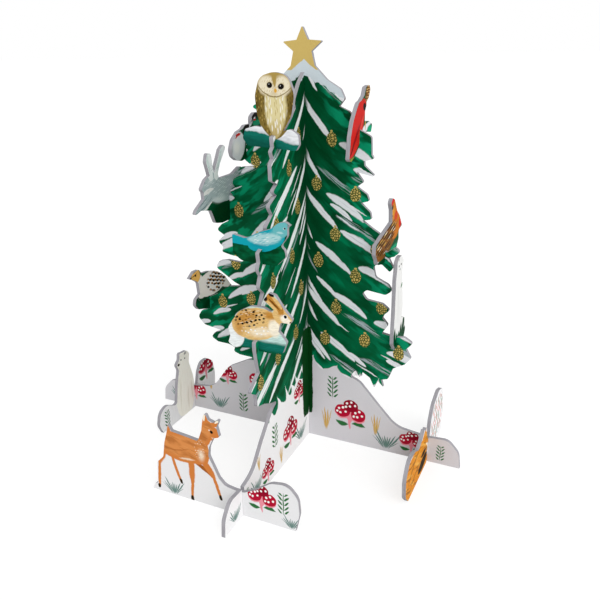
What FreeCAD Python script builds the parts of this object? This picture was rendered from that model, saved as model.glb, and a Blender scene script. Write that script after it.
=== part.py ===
"""Slot-together paper scene: a snowy fir of two crossing boards, four cross feet and slot-on boughs.

Every piece is cut flat from pasted greyboard and slides into its neighbour by half-lap slots, so
nothing is glued.  Units are millimetres, +Z is up, and the origin lies on the ground where the two
tree boards cross.  The star board stands along X and the cross board along Y.
"""
import FreeCAD
import Part

import math
import os
from collections import namedtuple

# --- Driving dimensions -------------------------------------------------------------------------
BOARD = 3.2              # thickness of every cut piece: greyboard with a printed paper on each face
SLOT_ROOM = 0.15         # room between a board and each wall of the slot that it slides into

TREE_HEIGHT = 351.0      # ground to the top point of the star
TREE_REACH = 112.0       # trunk to the tip of the widest bough
MOUND_TOP = 68.0         # height of the snow mound where the lowest boughs spring from it
ARM_TOP = 24.0           # height of a mound's arm where its foot crosses it
FOOT_TOP = 21.5          # height of a foot where its arm crosses it
TRUNK_MEET = 165.0       # height at which the two trunk slots meet
FOOT_MEET = 12.0         # height at which a foot's slot and its arm's notch meet

STAR_POINTS = 5
STAR_RADIUS = 15.5       # centre of the star to its top point
STAR_WAIST = 7.2         # centre of the star to the corners between its points
STAR_SPREAD = 1.1        # width of the star over that of an even one
STAR_TIP = 0.5           # rounding of the star's points and of the corners between them

# A mound's arm: distances from the trunk along its board, and the height half way down its slope.
Arm = namedtuple("Arm", "shoulder slope_foot crossing reach brow")
RIGHT_ARM = Arm(shoulder=50.0, slope_foot=84.0, crossing=111.4, reach=141.0, brow=43.2)
LEFT_ARM = Arm(shoulder=61.0, slope_foot=101.0, crossing=125.9, reach=161.6, brow=52.5)
NEAR_ARM = Arm(shoulder=72.0, slope_foot=108.0, crossing=125.2, reach=153.8, brow=45.0)
REAR_ARM = Arm(shoulder=72.0, slope_foot=108.0, crossing=125.2, reach=153.8, brow=45.0)

# The drifted snow line that every arm shares, as steps from the values above.
LEDGE_WIDTH = 9.0        # ledge on the mound between its lowest bough and the shoulder
LEDGE_SAG = 0.6          # how far the ledge's inner end lies below the mound's top
SHOULDER_DROP = 4.0      # how far the shoulder's corner lies below the mound's top
BROW_SHARE = 0.55        # share of the slope's width at which its brow stands
DRIFT_RISE = 3.0         # drift at the foot of the slope, above the arm's top
CROSSING_SAG = 0.5       # dip of the snow line where the foot crosses
END_LENGTH = 11.0        # length of the swelling at the arm's end
END_SWELL = 0.8          # rise of that swelling above the arm's top
END_LEAN = 1.5           # how far the arm's end leans out down to the ground
END_BEND = 0.6           # share of the arm's height at which its end turns down

# Where a slot-on bough sits: distance from the trunk, and the height at which its slot and the
# board's notch meet, both on the tree as drawn.
Seat = namedtuple("Seat", "distance level")
OWL_SEAT = Seat(51.5, 272.3)
BLUE_BIRD_SEAT = Seat(78.0, 194.5)
BROWN_HARE_SEAT = Seat(89.5, 129.0)
WOODPECKER_SEAT = Seat(53.5, 260.1)
GREY_HARE_SEAT = Seat(72.5, 207.0)
QUAIL_SEAT = Seat(100.0, 116.1)
RED_BIRD_SEAT = Seat(45.0, 271.8)
ORANGE_BIRD_SEAT = Seat(68.0, 180.2)
ERMINE_SEAT = Seat(80.0, 107.0)
HEADROOM = 0.3           # how far a notch stays open above the top of the figure that it holds
LEFT = NEAR = -1         # the two sides of the trunk along a board
RIGHT = REAR = 1

# The tree's ragged edge is drawn at this size and stretched above the mound to the size set above.
DRAWN_HEIGHT = 351.0
DRAWN_MOUND = 68.0
DRAWN_REACH = 112.0

# --- Ragged edges of the fir ---------------------------------------------------------------------
# Each corner is (distance from the trunk, height, rounding radius), from the crown down to the
# mound: a bough's tip, then the notch under it.
STAR_BOARD_RIGHT = [
    (20, 313, 9), (31, 306.5, 4), (34.5, 299.5, 2), (30, 294, 0), (38, 290.5, 3), (41.5, 286.5, 2),
    (38, 280, 0), (46, 277.5, 3), (56, 272.5, 3), (56.5, 259, 0), (58.5, 256, 1.5), (50.5, 254, 0),
    (51, 250.5, 0), (61, 242, 1), (44.5, 245.5, 0), (50.5, 238, 1.5), (45, 234, 0),
    (53.5, 228.5, 3), (55.5, 223.5, 1.5), (48.5, 221.5, 0), (56.5, 214.5, 3), (57.5, 209, 1.5),
    (50, 207.5, 0), (59, 201.5, 3), (66.5, 197, 1.2), (62, 188, 0), (71, 183.5, 2),
    (78.2, 188.7, 2.5), (81.5, 184.7, 2), (77, 180.7, 2), (72.5, 179.5, 0), (76.5, 171.5, 2),
    (74, 167.5, 1.2), (67, 173.5, 3), (60, 171.5, 3), (62, 161.7, 4), (73, 156.7, 4),
    (76.5, 151.7, 2.5), (71, 147.7, 3), (55, 149.8, 3), (51, 146.4, 1.8), (55, 141.3, 4),
    (68.5, 139.6, 4), (75, 134.8, 1.8), (70, 129.8, 0), (69, 127, 0), (74, 121.5, 2.5),
    (69, 113.5, 0), (80, 111.5, 3), (88, 113, 3), (95.5, 108.5, 1.8), (90, 102.5, 0),
    (94.5, 94.7, 2), (89.5, 88.5, 3), (79.5, 82.8, 3), (75.5, 72, 3), (69.5, 70.2, 0), (71.5, 63.8, 0),
    (66.5, 68.6, 0), (63.5, 61.5, 0), (59.5, 70, 0), (53, 74, 0), (50, 68.5, 0), (46.5, 75, 1.2),
]
STAR_BOARD_LEFT = [
    (22, 312, 9), (34, 305.5, 5), (43, 298.6, 1.5), (38.5, 296.1, 0), (45.5, 292.6, 1.3),
    (38, 288.6, 0), (36, 285, 1), (35.5, 279, 2), (38, 274.8, 0), (48, 273, 2), (56, 270.6, 3),
    (61.5, 264.6, 3), (59, 256.1, 3), (53, 249.6, 1.5), (49, 246.6, 2), (43.5, 245.5, 0),
    (58, 243.9, 1.5), (61, 240.1, 2), (60, 236.6, 0), (65.5, 233.6, 1.5), (67, 229.8, 2),
    (65, 227, 0), (69, 224.4, 1.5), (69.3, 221.4, 1.5), (67, 219.6, 0), (78, 217.6, 3),
    (83, 212.6, 3), (80, 206.4, 3), (76, 203.1, 3), (72, 197.1, 2), (80, 193.1, 3),
    (85.5, 187.6, 2), (78, 183.1, 0),
    (85, 177.1, 2.5), (80, 172.1, 0), (81.5, 167.6, 1.5), (73, 165.6, 2), (57, 163.6, 0),
    (63, 159.6, 3), (76, 160.6, 4), (85, 158.6, 4), (89, 152.1, 3), (80, 146.6, 4), (70, 140.1, 3),
    (63, 137.1, 0), (76, 135.6, 4), (90, 126.1, 6), (104, 119.1, 3), (108.5, 113.1, 3), (101, 109.4, 0),
    (108, 107.1, 3), (112.5, 100.1, 4), (106, 93.1, 5), (92, 90.6, 3), (86, 89.6, 0), (95, 86.6, 3),
    (99, 81.6, 2), (92, 77.6, 3), (80, 77.1, 2), (74, 74.6, 0), (75.5, 70.6, 2), (69, 68.3, 1.5),
]
CROSS_BOARD_EDGE = [
    (11, 310, 8), (20, 298, 3), (18, 293.5, 0), (27, 286, 3), (34, 281, 3),
    (57, 276.7, 1.5), (56, 269.5, 0), (59.5, 266.5, 1.2), (57, 261.5, 0), (61, 257.5, 2),
    (60.5, 246, 1.5), (52, 242.5, 0), (60, 238, 1.5), (54, 234.5, 0), (67, 228.5, 2),
    (61, 221.5, 0), (72.5, 214, 2), (68, 208.5, 0), (75, 202, 2), (84.5, 198.7, 1.5),
    (83.5, 191.5, 0), (86.5, 186.5, 1.8), (82, 180.5, 0), (86, 172.5, 2), (79, 166.5, 0),
    (85.5, 157.5, 2), (79, 150, 0), (83, 138, 3), (87, 133.8, 2), (95.3, 132.7, 1.5),
    (95.3, 126, 3), (93, 113, 2), (91, 106, 0), (107, 96, 2), (97, 90, 0), (97, 79.5, 2),
    (86, 76.5, 3), (76, 71.5, 2),
]

# --- Cut outlines of the slot-on boughs ----------------------------------------------------------
# Each corner is (distance along the piece from its slot, height above its seat, rounding radius),
# clockwise.  Pieces on the cross board run along X, and pieces on the star board along Y.
OWL = [
    (1.5, 48.2, 14), (12, 45.5, 8), (17, 33, 12), (14.5, 19, 14), (8, 8.3, 0), (13.5, 9.8, 4),
    (19.5, 6, 3.5), (20, -1, 3), (17.5, -5.2, 2), (-6, -3.6, 2), (-21, -3, 4), (-25.5, 2.5, 3),
    (-23, 9, 3), (-15, 11.3, 3), (-9.5, 10.5, 0), (-12.8, 20, 14), (-14, 32, 12), (-10.2, 45, 9),
]
BLUE_BIRD = [
    (-23, 15, 1), (-12, 12.6, 6), (0, 18.5, 10), (9, 21.5, 3), (15, 26.3, 4), (20.5, 27.5, 2.5),
    (24.3, 25.2, 0), (22, 23, 0), (22, 17, 6), (16.5, 9.5, 3), (19.5, 7, 3), (20.5, 2, 3),
    (12.5, -5.8, 5), (3, -5.5, 2), (-16, -4.5, 5), (-23, 0.5, 4),
]
BROWN_HARE = [
    (-19.5, 17.5, 5), (-14, 25, 8), (-4, 30.5, 10), (7, 31, 8), (12.5, 28.3, 3), (15.5, 30.5, 0),
    (7, 37, 1.4), (9.3, 39.8, 0), (11.5, 43, 1.3), (16.5, 42, 3), (22, 34, 3), (25.5, 29.5, 4),
    (30, 25, 1), (28.5, 21.5, 1.5), (20.5, 21.5, 2), (18.5, 14, 0), (20.5, 12, 3), (25, 6, 2),
    (21.5, -3.5, 2), (10, -5, 6), (-6, -3.5, 3), (-20, -5.3, 2), (-24.5, -1.5, 1.5), (-22.5, 4, 2),
    (-24, 10.5, 3),
]
WOODPECKER = [
    (-26, 1, 5), (-22, 8.5, 5), (-14, 13.8, 4), (-6, 15.5, 4), (-2, 18, 3), (6, 18, 2.5),
    (9, 18, 0), (9, 23.5, 4), (15, 26.5, 4), (24, 26, 3), (31, 20, 5), (34, 10, 4), (30, 2, 4),
    (22, -2.5, 4), (14, -3, 3), (6, -8.5, 3), (-3, -8.8, 0), (-10, -9.7, 3), (-18, -8, 2),
    (-24, -4.5, 4),
]
GREY_HARE = [
    (-43, 24.7, 1.5), (-36.5, 31.2, 4), (-30, 33.7, 0), (-34, 45.2, 2), (-31.5, 51.7, 2.5),
    (-26, 50.7, 2.5), (-25, 40.2, 0), (-23, 34.7, 0), (-12, 52.2, 2), (-6, 55.7, 2),
    (-3.5, 52.2, 1.5), (-13, 41.2, 3), (-17.5, 33.2, 0), (-16, 29, 0), (7, 29.2, 8), (19, 33.7, 5),
    (29, 29.7, 2), (33, 21.2, 4), (28, 11.2, 5), (31, 2.2, 4), (22, -4.8, 5), (8, -8.8, 5),
    (-15, -8.8, 4), (-25, -6.8, 4), (-28, -0.8, 4), (-31, 5.2, 2), (-46, 8.2, 3), (-55, 5.7, 1.5),
    (-52, 9.7, 2), (-40, 16.2, 0), (-40.5, 21.7, 0),
]
QUAIL = [
    (-30.5, 32.5, 0), (-23, 37, 3), (-15, 36.5, 3), (-12, 32, 2), (0, 30.5, 8), (15, 26, 10),
    (28, 17, 6), (37, 6, 3), (42, 1, 1.5), (34, -2, 3), (30, -8, 3), (16, -7.5, 4), (8, -11, 3),
    (-3, -5.2, 0), (-10, -2.8, 3), (-20, 0, 4), (-25, 5.5, 3), (-23, 10.5, 3), (-16, 13.5, 0),
    (-17.5, 25, 3), (-22.5, 28.5, 2),
]
RED_BIRD = [
    (-22, -9.5, 0), (-20, 2, 8), (-15, 13, 10), (-7, 22, 4), (-4, 25, 4), (1.5, 26.3, 2),
    (8, 29.5, 2), (11.5, 35.5, 2), (19, 36.8, 2), (21.5, 33.5, 1.5), (18, 27.5, 2), (13, 24.8, 0),
    (13, 22, 1), (10, 18, 3), (10, 10.5, 0), (20, 10, 4), (28, 6.5, 2), (25, 1, 2), (13, 2.5, 3),
    (6, -1, 3), (-4, -8, 4), (-13, -13.5, 4), (-19, -16, 2), (-23, -14, 1.5),
]
ORANGE_BIRD = [
    (-25, 15, 2), (-12, 18, 10), (10, 22.8, 3), (15.5, 24, 0), (14.5, 34, 5), (11, 40, 2),
    (14.5, 43.5, 2), (20, 41.5, 4), (28, 30.5, 6), (35, 25.5, 4), (43.5, 15, 1), (34, 13, 3),
    (35, 6, 2.5), (30, -0.5, 3), (16, -6, 4), (4, -4.2, 2), (-8, -4.5, 3), (-19, -2, 3),
    (-21.5, 3, 2), (-25.5, 7.5, 2),
]
ERMINE = [
    (-9, 56, 8), (-7, 66, 5), (-7, 70.5, 2), (-2, 73.8, 3), (4.5, 74, 2), (10.5, 68.5, 2.5),
    (8, 62.5, 4), (8.5, 52, 5), (11, 40, 8), (13, 27, 5), (11, 17.5, 2), (15, 17.5, 2),
    (22, 13.5, 3), (24, 2, 4), (19, -5, 4), (3, -6, 2), (-4, -4.5, 2), (-10, 2, 3), (-10, 14, 3),
    (-9, 30, 10),
]
REAR_BOUGH = [
    (-24, 6, 3), (-12, 10.5, 6), (0, 13, 8), (13, 10.5, 6), (23, 6, 3), (25, 0, 3), (15, -3, 0),
    (16, -6, 2), (3, -5, 0), (-14, -6.5, 2), (-15, -3, 0), (-26, 0, 3),
]

# --- Cut outlines of the cross feet --------------------------------------------------------------
# Each corner is (distance along the foot from its slot, height above the ground, radius), from
# one end on the ground over the top to the other end.  None stands for the foot's top height.
DEER_FOOT = [
    (-83, 0, 0), (-81, 5, 3), (-77.5, 7, 2), (-76, 27.5, 4), (-69.5, 34, 6), (-67, 48, 10),
    (-63.5, 59, 4), (-62, 65, 0), (-59.3, 60, 0), (-45, 58.5, 10), (-35, 57.3, 3), (-31, 68, 8),
    (-30, 74, 2), (-27.5, 85, 1.2), (-24.5, 78.5, 0), (-20, 77, 0), (-13.5, 82.5, 1.2),
    (-17.5, 74, 2), (-15.5, 65.5, 1.5), (-21, 63.5, 2), (-25.5, 54, 6), (-26.5, 46, 6),
    (-18.5, 28.2, 5), (-13.5, 22.8, 8), (-5, None, 8), (3, None, 6), (14, 27.5, 10), (26.5, 36.8, 10),
    (40, 39, 10), (48.6, 29.3, 12), (49.6, 16, 15), (46, 0, 0),
]
BEAR_FOOT = [
    (-55.5, 0, 0), (-60.5, 10, 8), (-57, 22, 9), (-47, 25, 9), (-35, 18.5, 2), (-31, 19, 2),
    (-28, 36, 20), (-23.5, 50.4, 3), (-26.5, 56.8, 2), (-21.5, 60.8, 3), (-20.5, 67.2, 2),
    (-16, 66, 3), (-9, 65.3, 3), (-5, 61, 3), (-7, 52, 5), (-2, 36, 15), (0, None, 2),
    (4.5, None, 2), (8, 34, 6), (14, 42.3, 8), (25, 41.8, 9), (34, 35, 8), (37.5, 20, 15), (35.5, 0, 0),
]
FOX_FOOT = [
    (-60, 0, 0), (-68, 8, 8), (-69.5, 25, 10), (-60, 37.5, 9), (-45, 36.5, 10), (-33, 30.5, 6),
    (-22, 35, 5), (-16, 40.5, 1.5), (-12.5, 36, 0), (-9, 39, 1.2), (-7, 30, 4), (-1.5, None, 4),
    (3, None, 3), (6, 36, 8), (14, 47, 9), (31, 53, 12), (46.5, 47.8, 10), (53, 30, 14), (49, 0, 0),
]
REAR_FOOT = [
    (-74, 0, 0), (-77, 14, 12), (-68, 31, 10), (-52, 38, 12), (-36, 36, 12), (-20, 28, 10),
    (-8, None, 8), (3.5, None, 2.5), (8, 14, 5), (8.5, 0, 0),
]

# --- Which bough sits where: outline, seat, and side of the trunk ----------------------------------
CROSS_BOARD_BOUGHS = {
    "owl_bough": (OWL, OWL_SEAT, NEAR),
    "blue_bird_bough": (BLUE_BIRD, BLUE_BIRD_SEAT, NEAR),
    "brown_hare_bough": (BROWN_HARE, BROWN_HARE_SEAT, NEAR),
    "rear_bough_high": (REAR_BOUGH, OWL_SEAT, REAR),
    "rear_bough_middle": (REAR_BOUGH, BLUE_BIRD_SEAT, REAR),
    "rear_bough_low": (REAR_BOUGH, BROWN_HARE_SEAT, REAR),
}
STAR_BOARD_BOUGHS = {
    "woodpecker_bough": (WOODPECKER, WOODPECKER_SEAT, LEFT),
    "grey_hare_bough": (GREY_HARE, GREY_HARE_SEAT, LEFT),
    "quail_bough": (QUAIL, QUAIL_SEAT, LEFT),
    "red_bird_bough": (RED_BIRD, RED_BIRD_SEAT, RIGHT),
    "orange_bird_bough": (ORANGE_BIRD, ORANGE_BIRD_SEAT, RIGHT),
    "ermine_bough": (ERMINE, ERMINE_SEAT, RIGHT),
}

# --- Derived sizes -------------------------------------------------------------------------------
SLOT_WIDTH = BOARD + 2 * SLOT_ROOM
REACH_SCALE = TREE_REACH / DRAWN_REACH
HEIGHT_SCALE = (TREE_HEIGHT - MOUND_TOP) / (DRAWN_HEIGHT - DRAWN_MOUND)
STAR_CENTRE = TREE_HEIGHT - STAR_RADIUS
DRAWN_CROWN = 320.0      # where the snow cap meets the trunk's axis on the tree as drawn
CUT = 1000.0             # long enough to leave any board
SHARP = 0.01             # a corner whose rounding would start nearer than this stays sharp


def tree_height(drawn):
    """Height on the real tree of a height on the tree as drawn, measured up from the mound."""
    return MOUND_TOP + (drawn - DRAWN_MOUND) * HEIGHT_SCALE


def tree_edge(corners, side):
    """Corners of one ragged edge at the real size; side is +1 or -1 along the board."""
    return [(side * d * REACH_SCALE, tree_height(z), r) for d, z, r in corners]


def arm_edge(arm, side):
    """Corners of the mound and its arm, from the shoulder down to the arm's end on the ground."""
    slope = arm.slope_foot - arm.shoulder
    corners = [
        (arm.shoulder - LEDGE_WIDTH, MOUND_TOP - LEDGE_SAG, 2),
        (arm.shoulder, MOUND_TOP - SHOULDER_DROP, 14),
        (arm.shoulder + BROW_SHARE * slope, arm.brow, 20),
        (arm.slope_foot, ARM_TOP + DRIFT_RISE, 22),
        (arm.crossing, ARM_TOP - CROSSING_SAG, 40),
        (arm.reach - END_LENGTH, ARM_TOP + END_SWELL, 9),
        (arm.reach - END_LEAN, END_BEND * ARM_TOP, 12),
        (arm.reach, 0, 0),
    ]
    return [(side * d, z, r) for d, z, r in corners]


def star_corners():
    """The star from its lower left point, over the top, to its lower right point."""
    corners = []
    for step in range(2 * STAR_POINTS - 1):
        angle = math.pi * (-0.5 - (step + 1) / STAR_POINTS)
        radius = STAR_WAIST if step % 2 else STAR_RADIUS
        across = STAR_SPREAD * radius * math.cos(angle)
        corners.append((across, STAR_CENTRE + radius * math.sin(angle), STAR_TIP))
    return corners


def rounded_wire(corners):
    """Closed wire in the XZ plane: straight flanks with each corner rounded by its own radius."""
    points = [FreeCAD.Vector(x, 0, z) for x, z, _ in corners]
    edges = []
    last = None
    first = None
    for index, (_, _, radius) in enumerate(corners):
        here = points[index]
        back = points[index - 1] - here
        ahead = points[(index + 1) % len(points)] - here
        half_angle = back.getAngle(ahead) / 2
        room = 0.49 * min(back.Length, ahead.Length)
        setback = min(radius / math.tan(half_angle), room)
        if setback < SHARP:
            setback = 0
        back.normalize()
        ahead.normalize()
        start = here + back * setback
        end = here + ahead * setback
        if last is not None:
            edges.append(Part.LineSegment(last, start).toShape())
        else:
            first = start
        if setback:
            centre_distance = setback / math.cos(half_angle)
            bisector = (back + ahead).normalize()
            middle = here + bisector * (centre_distance - setback * math.tan(half_angle))
            edges.append(Part.Arc(start, middle, end).toShape())
        last = end
    edges.append(Part.LineSegment(last, first).toShape())
    return Part.Wire(edges)


def cut_sheet(corners):
    """A board of the given outline, standing in the XZ plane with its middle at y = 0."""
    face = Part.Face(rounded_wire(corners))
    face.translate(FreeCAD.Vector(0, -BOARD / 2, 0))
    return face.extrude(FreeCAD.Vector(0, BOARD, 0))


def slot(distance, bottom, top):
    """Cutter for a slot across a board in the XZ plane, centred at a distance along it."""
    corner = FreeCAD.Vector(distance - SLOT_WIDTH / 2, -CUT / 2, bottom)
    return Part.makeBox(SLOT_WIDTH, CUT, top - bottom, corner)


def notch(corners, seat, side):
    """Cutter for a slot-on bough's notch, open from its seat to above the figure's top."""
    level = tree_height(seat.level)
    top = max(v for _, v, _ in corners)
    return slot(side * seat.distance * REACH_SCALE, level, level + top + HEADROOM)


def arm_notch(arm, side):
    """Cutter for the notch, open at the top, in which a foot sits on its arm."""
    return slot(side * arm.crossing, FOOT_MEET, MOUND_TOP)


def turned(shape):
    """A board from the XZ plane stood in the YZ plane, its distances now along +Y."""
    shape.rotate(FreeCAD.Vector(0, 0, 0), FreeCAD.Vector(0, 0, 1), 90)
    return shape


def star_tree_board():
    """The wide tree board with the star; its trunk slot is open at the ground."""
    right = tree_edge(STAR_BOARD_RIGHT, RIGHT) + arm_edge(RIGHT_ARM, RIGHT)
    left = tree_edge(STAR_BOARD_LEFT, LEFT) + arm_edge(LEFT_ARM, LEFT)
    board = cut_sheet(star_corners() + right + left[::-1])
    cutters = [slot(0, -CUT, TRUNK_MEET), arm_notch(RIGHT_ARM, RIGHT), arm_notch(LEFT_ARM, LEFT)]
    cutters += [notch(*bough) for bough in STAR_BOARD_BOUGHS.values()]
    return board.cut(cutters)


def cross_tree_board():
    """The tree board that crosses it; its trunk slot is open at the crown."""
    crown = [(0, tree_height(DRAWN_CROWN), 2)]
    near = tree_edge(CROSS_BOARD_EDGE, NEAR) + arm_edge(NEAR_ARM, NEAR)
    rear = tree_edge(CROSS_BOARD_EDGE, REAR) + arm_edge(REAR_ARM, REAR)
    board = cut_sheet(crown + rear + near[::-1])
    cutters = [slot(0, TRUNK_MEET, CUT), arm_notch(NEAR_ARM, NEAR), arm_notch(REAR_ARM, REAR)]
    cutters += [notch(*bough) for bough in CROSS_BOARD_BOUGHS.values()]
    return turned(board.cut(cutters))


def bough_piece(corners, seat):
    """A slot-on bough at its seat's height, still over the trunk, its slot open at the bottom."""
    level = tree_height(seat.level)
    sheet = cut_sheet([(u, level + v, r) for u, v, r in corners])
    return sheet.cut(slot(0, level - CUT, level))


def along_x(corners, seat, side):
    """A slot-on bough across the cross board, on its near or rear edge."""
    piece = bough_piece(corners, seat)
    piece.translate(FreeCAD.Vector(0, side * seat.distance * REACH_SCALE, 0))
    return piece


def along_y(corners, seat, side):
    """A slot-on bough across the star board, on its left or right edge."""
    piece = turned(bough_piece(corners, seat))
    piece.translate(FreeCAD.Vector(side * seat.distance * REACH_SCALE, 0, 0))
    return piece


def foot(corners):
    """A cross foot over the trunk, its slot open at the ground."""
    sheet = cut_sheet([(u, FOOT_TOP if z is None else z, r) for u, z, r in corners])
    return sheet.cut(slot(0, -CUT, FOOT_MEET))


def deer_foot():
    """The foot under the near arm, cut to a deer on one side and a snow hump on the other."""
    piece = foot(DEER_FOOT)
    piece.translate(FreeCAD.Vector(0, -NEAR_ARM.crossing, 0))
    return piece


def rear_foot():
    """The foot under the rear arm, with a plain snow hump on its left side."""
    piece = foot(REAR_FOOT)
    piece.translate(FreeCAD.Vector(0, REAR_ARM.crossing, 0))
    return piece


def bear_foot():
    """The foot under the left arm, cut to a standing bear."""
    piece = turned(foot(BEAR_FOOT))
    piece.translate(FreeCAD.Vector(-LEFT_ARM.crossing, 0, 0))
    return piece


def fox_foot():
    """The foot under the right arm, cut to a curled fox."""
    piece = turned(foot(FOX_FOOT))
    piece.translate(FreeCAD.Vector(RIGHT_ARM.crossing, 0, 0))
    return piece


PIECES = {
    "star_tree_board": star_tree_board(),
    "cross_tree_board": cross_tree_board(),
    "deer_foot": deer_foot(),
    "bear_foot": bear_foot(),
    "fox_foot": fox_foot(),
    "rear_foot": rear_foot(),
}
PIECES.update({name: along_x(*bough) for name, bough in CROSS_BOARD_BOUGHS.items()})
PIECES.update({name: along_y(*bough) for name, bough in STAR_BOARD_BOUGHS.items()})

os.makedirs("parts", exist_ok=True)
for name, shape in PIECES.items():
    if not shape.isValid() or len(shape.Solids) != 1:
        raise ValueError(f"{name} is not one valid solid: {len(shape.Solids)} solids")
    shape.Solids[0].exportStep(f"parts/{name}.step")
    box = shape.BoundBox
    print(f"{name:20s} x {box.XMin:7.1f} {box.XMax:7.1f}  y {box.YMin:7.1f} {box.YMax:7.1f}"
          f"  z {box.ZMin:6.1f} {box.ZMax:6.1f}  faces {len(shape.Faces)}")
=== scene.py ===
"""Prints the greyboard sheets of a slot-together winter tree and sets the studio round it."""

import logging
import math
from dataclasses import KW_ONLY, dataclass, replace
from enum import Enum

import bmesh
import bpy
from mathutils import Matrix, Vector


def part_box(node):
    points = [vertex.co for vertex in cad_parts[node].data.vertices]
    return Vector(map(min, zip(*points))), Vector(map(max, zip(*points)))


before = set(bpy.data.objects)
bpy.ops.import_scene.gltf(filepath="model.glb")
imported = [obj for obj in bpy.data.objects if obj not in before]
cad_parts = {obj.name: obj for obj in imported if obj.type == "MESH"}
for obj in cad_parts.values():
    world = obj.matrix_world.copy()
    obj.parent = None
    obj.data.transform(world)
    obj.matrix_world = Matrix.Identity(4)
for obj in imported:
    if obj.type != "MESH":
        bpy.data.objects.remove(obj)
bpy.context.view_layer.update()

LOG = logging.getLogger("paper_tree")
MILLIMETRES = 1000
SRGB_KNEE, SRGB_SLOPE, SRGB_OFFSET, SRGB_POWER = 0.04045, 12.92, 0.055, 2.4

Pair = tuple[float, float]
Socket = bpy.types.NodeSocket


class Ink(Enum):
    """Colours of the print and the board, as sRGB hex; two darker copies of the card carry painted
    shade.
    """

    CARD = "F1F1F2"
    # The card darkened by painted shade, for the deer foot and the rear foot.
    CARD_SOFT_SHADE = "E6E6E7"
    # The card darkened more by painted shade, for the star board.
    CARD_SHADE = "D2D1D5"
    BOARD = "98969C"
    BOARD_LIGHT = "A9A7AC"
    SNOW = "E2E4E8"
    SNOW_WHITE = "E8EDEC"
    SNOW_SHADE = "A9B4BA"
    SNOW_CAP = "CAD5DB"
    FIR_DARK = "003A1C"
    FIR_DEEP = "004D2B"
    FIR = "005F3A"
    FIR_BRIGHT = "007F54"
    FIR_TIP = "0A9A6E"
    TRUNK = "063A14"
    TEAL = "0F6B5C"
    TEAL_DARK = "084A3E"
    TEAL_PALE = "BFDCD6"
    GOLD = "D0B666"
    STAR_GOLD = "CEB46A"
    CRIMSON = "B01030"
    CRIMSON_DARK = "8E0A26"
    PINK = "E58E9B"
    SPRIG = "2E6B3A"
    OCHRE = "C9A04A"
    REED = "5C7E76"
    BLACK = "14110F"
    WHITE = "F4F3F0"
    OWL = "7C6830"
    OWL_DARK = "4C3B14"
    OWL_HEAD = "A98F4C"
    OWL_LOBE = "E6DCC0"
    OWL_CHEST = "DACE9C"
    AMBER = "D9A23C"
    TURQUOISE = "109CAA"
    TURQUOISE_DARK = "0C7F92"
    TURQUOISE_PALE = "B4D6D6"
    TURQUOISE_GREY = "66B2B6"
    GREY = "8A8F92"
    HARE = "BC8438"
    HARE_LIGHT = "DDB878"
    HARE_DARK = "6E4212"
    CREAM = "F3EAD4"
    WINTER_HARE = "B2C1C3"
    WINTER_HARE_PALE = "F0F5F4"
    WINTER_HARE_DARK = "7A8E92"
    QUAIL = "FFF7F0"
    QUAIL_HEAD = "FFC468"
    QUAIL_SPOT = "1E1610"
    QUAIL_BROWN = "9A6A30"
    RED = "C8241E"
    RED_DARK = "8A1218"
    RED_LIGHT = "E2554A"
    ORANGE = "C27018"
    ORANGE_LIGHT = "D4902E"
    RUST = "80501E"
    RUST_DARK = "3E2A14"
    OLIVE = "8C8A34"
    ERMINE = "E8E8E6"
    ERMINE_SHADE = "D4D5D3"
    DEER = "CE7C3C"
    DEER_LIGHT = "DE9A5C"
    DEER_DARK = "A05A24"
    BEAR = "FFFDF2"
    BEAR_SHADE = "E2DECC"
    FOX = "DC8C22"
    FOX_LIGHT = "EDB451"
    FOX_DARK = "2A1E08"
    CORAL = "E0604C"


class Across(Enum):
    """Which way a sheet runs; its thin side faces the other way."""

    X = "X"
    Y = "Y"

    @property
    def thin(self) -> str:
        """The axis that the sheet's thickness lies along."""
        return "Y" if self is Across.X else "X"


class Tuft(Enum):
    """Kinds of tuft: ink, blades, half spread in radians and half a blade's width."""

    DRY_GRASS = (Ink.OCHRE, 3, 0.2, 0.05)
    REED = (Ink.REED, 9, 0.8, 0.075)


def linear(ink: Ink) -> tuple[float, ...]:
    """Turns an ink's sRGB hex into the linear colour that a shader takes.

    Args:
        ink: The ink to convert.

    Returns:
        Linear red, green and blue, and an alpha of one.
    """
    parts = (int(ink.value[i : i + 2], 16) / 255 for i in (0, 2, 4))
    return *(
        p / SRGB_SLOPE if p <= SRGB_KNEE else ((p + SRGB_OFFSET) / (1 + SRGB_OFFSET)) ** SRGB_POWER
        for p in parts
    ), 1.0


class Nodes:
    """A node tree while it is being built."""

    def __init__(self, tree: bpy.types.NodeTree) -> None:
        """Starts on a tree."""
        self.tree = tree

    def add(
        self, kind: str, inputs: dict | tuple = (), **settings: object
    ) -> bpy.types.bpy_prop_collection:
        """Adds one node with its settings and links.

        Args:
            kind: The node's type name without ShaderNode, then its operation if it has one.
            inputs: What each input is linked from or set to, in order or by index or name.
            **settings: The node's own properties.

        Returns:
            The node's outputs.
        """
        kind, _, operation = kind.partition(" ")
        node = self.tree.nodes.new(kind if kind.startswith("Node") else f"ShaderNode{kind}")
        if operation:
            node.operation = operation
        for name, value in settings.items():
            setattr(node, name, value)
        given = inputs if isinstance(inputs, dict) else dict(enumerate(inputs))
        for key, value in given.items():
            if isinstance(value, Socket):
                self.tree.links.new(value, node.inputs[key])
            else:
                node.inputs[key].default_value = value
        return node.outputs


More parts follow.
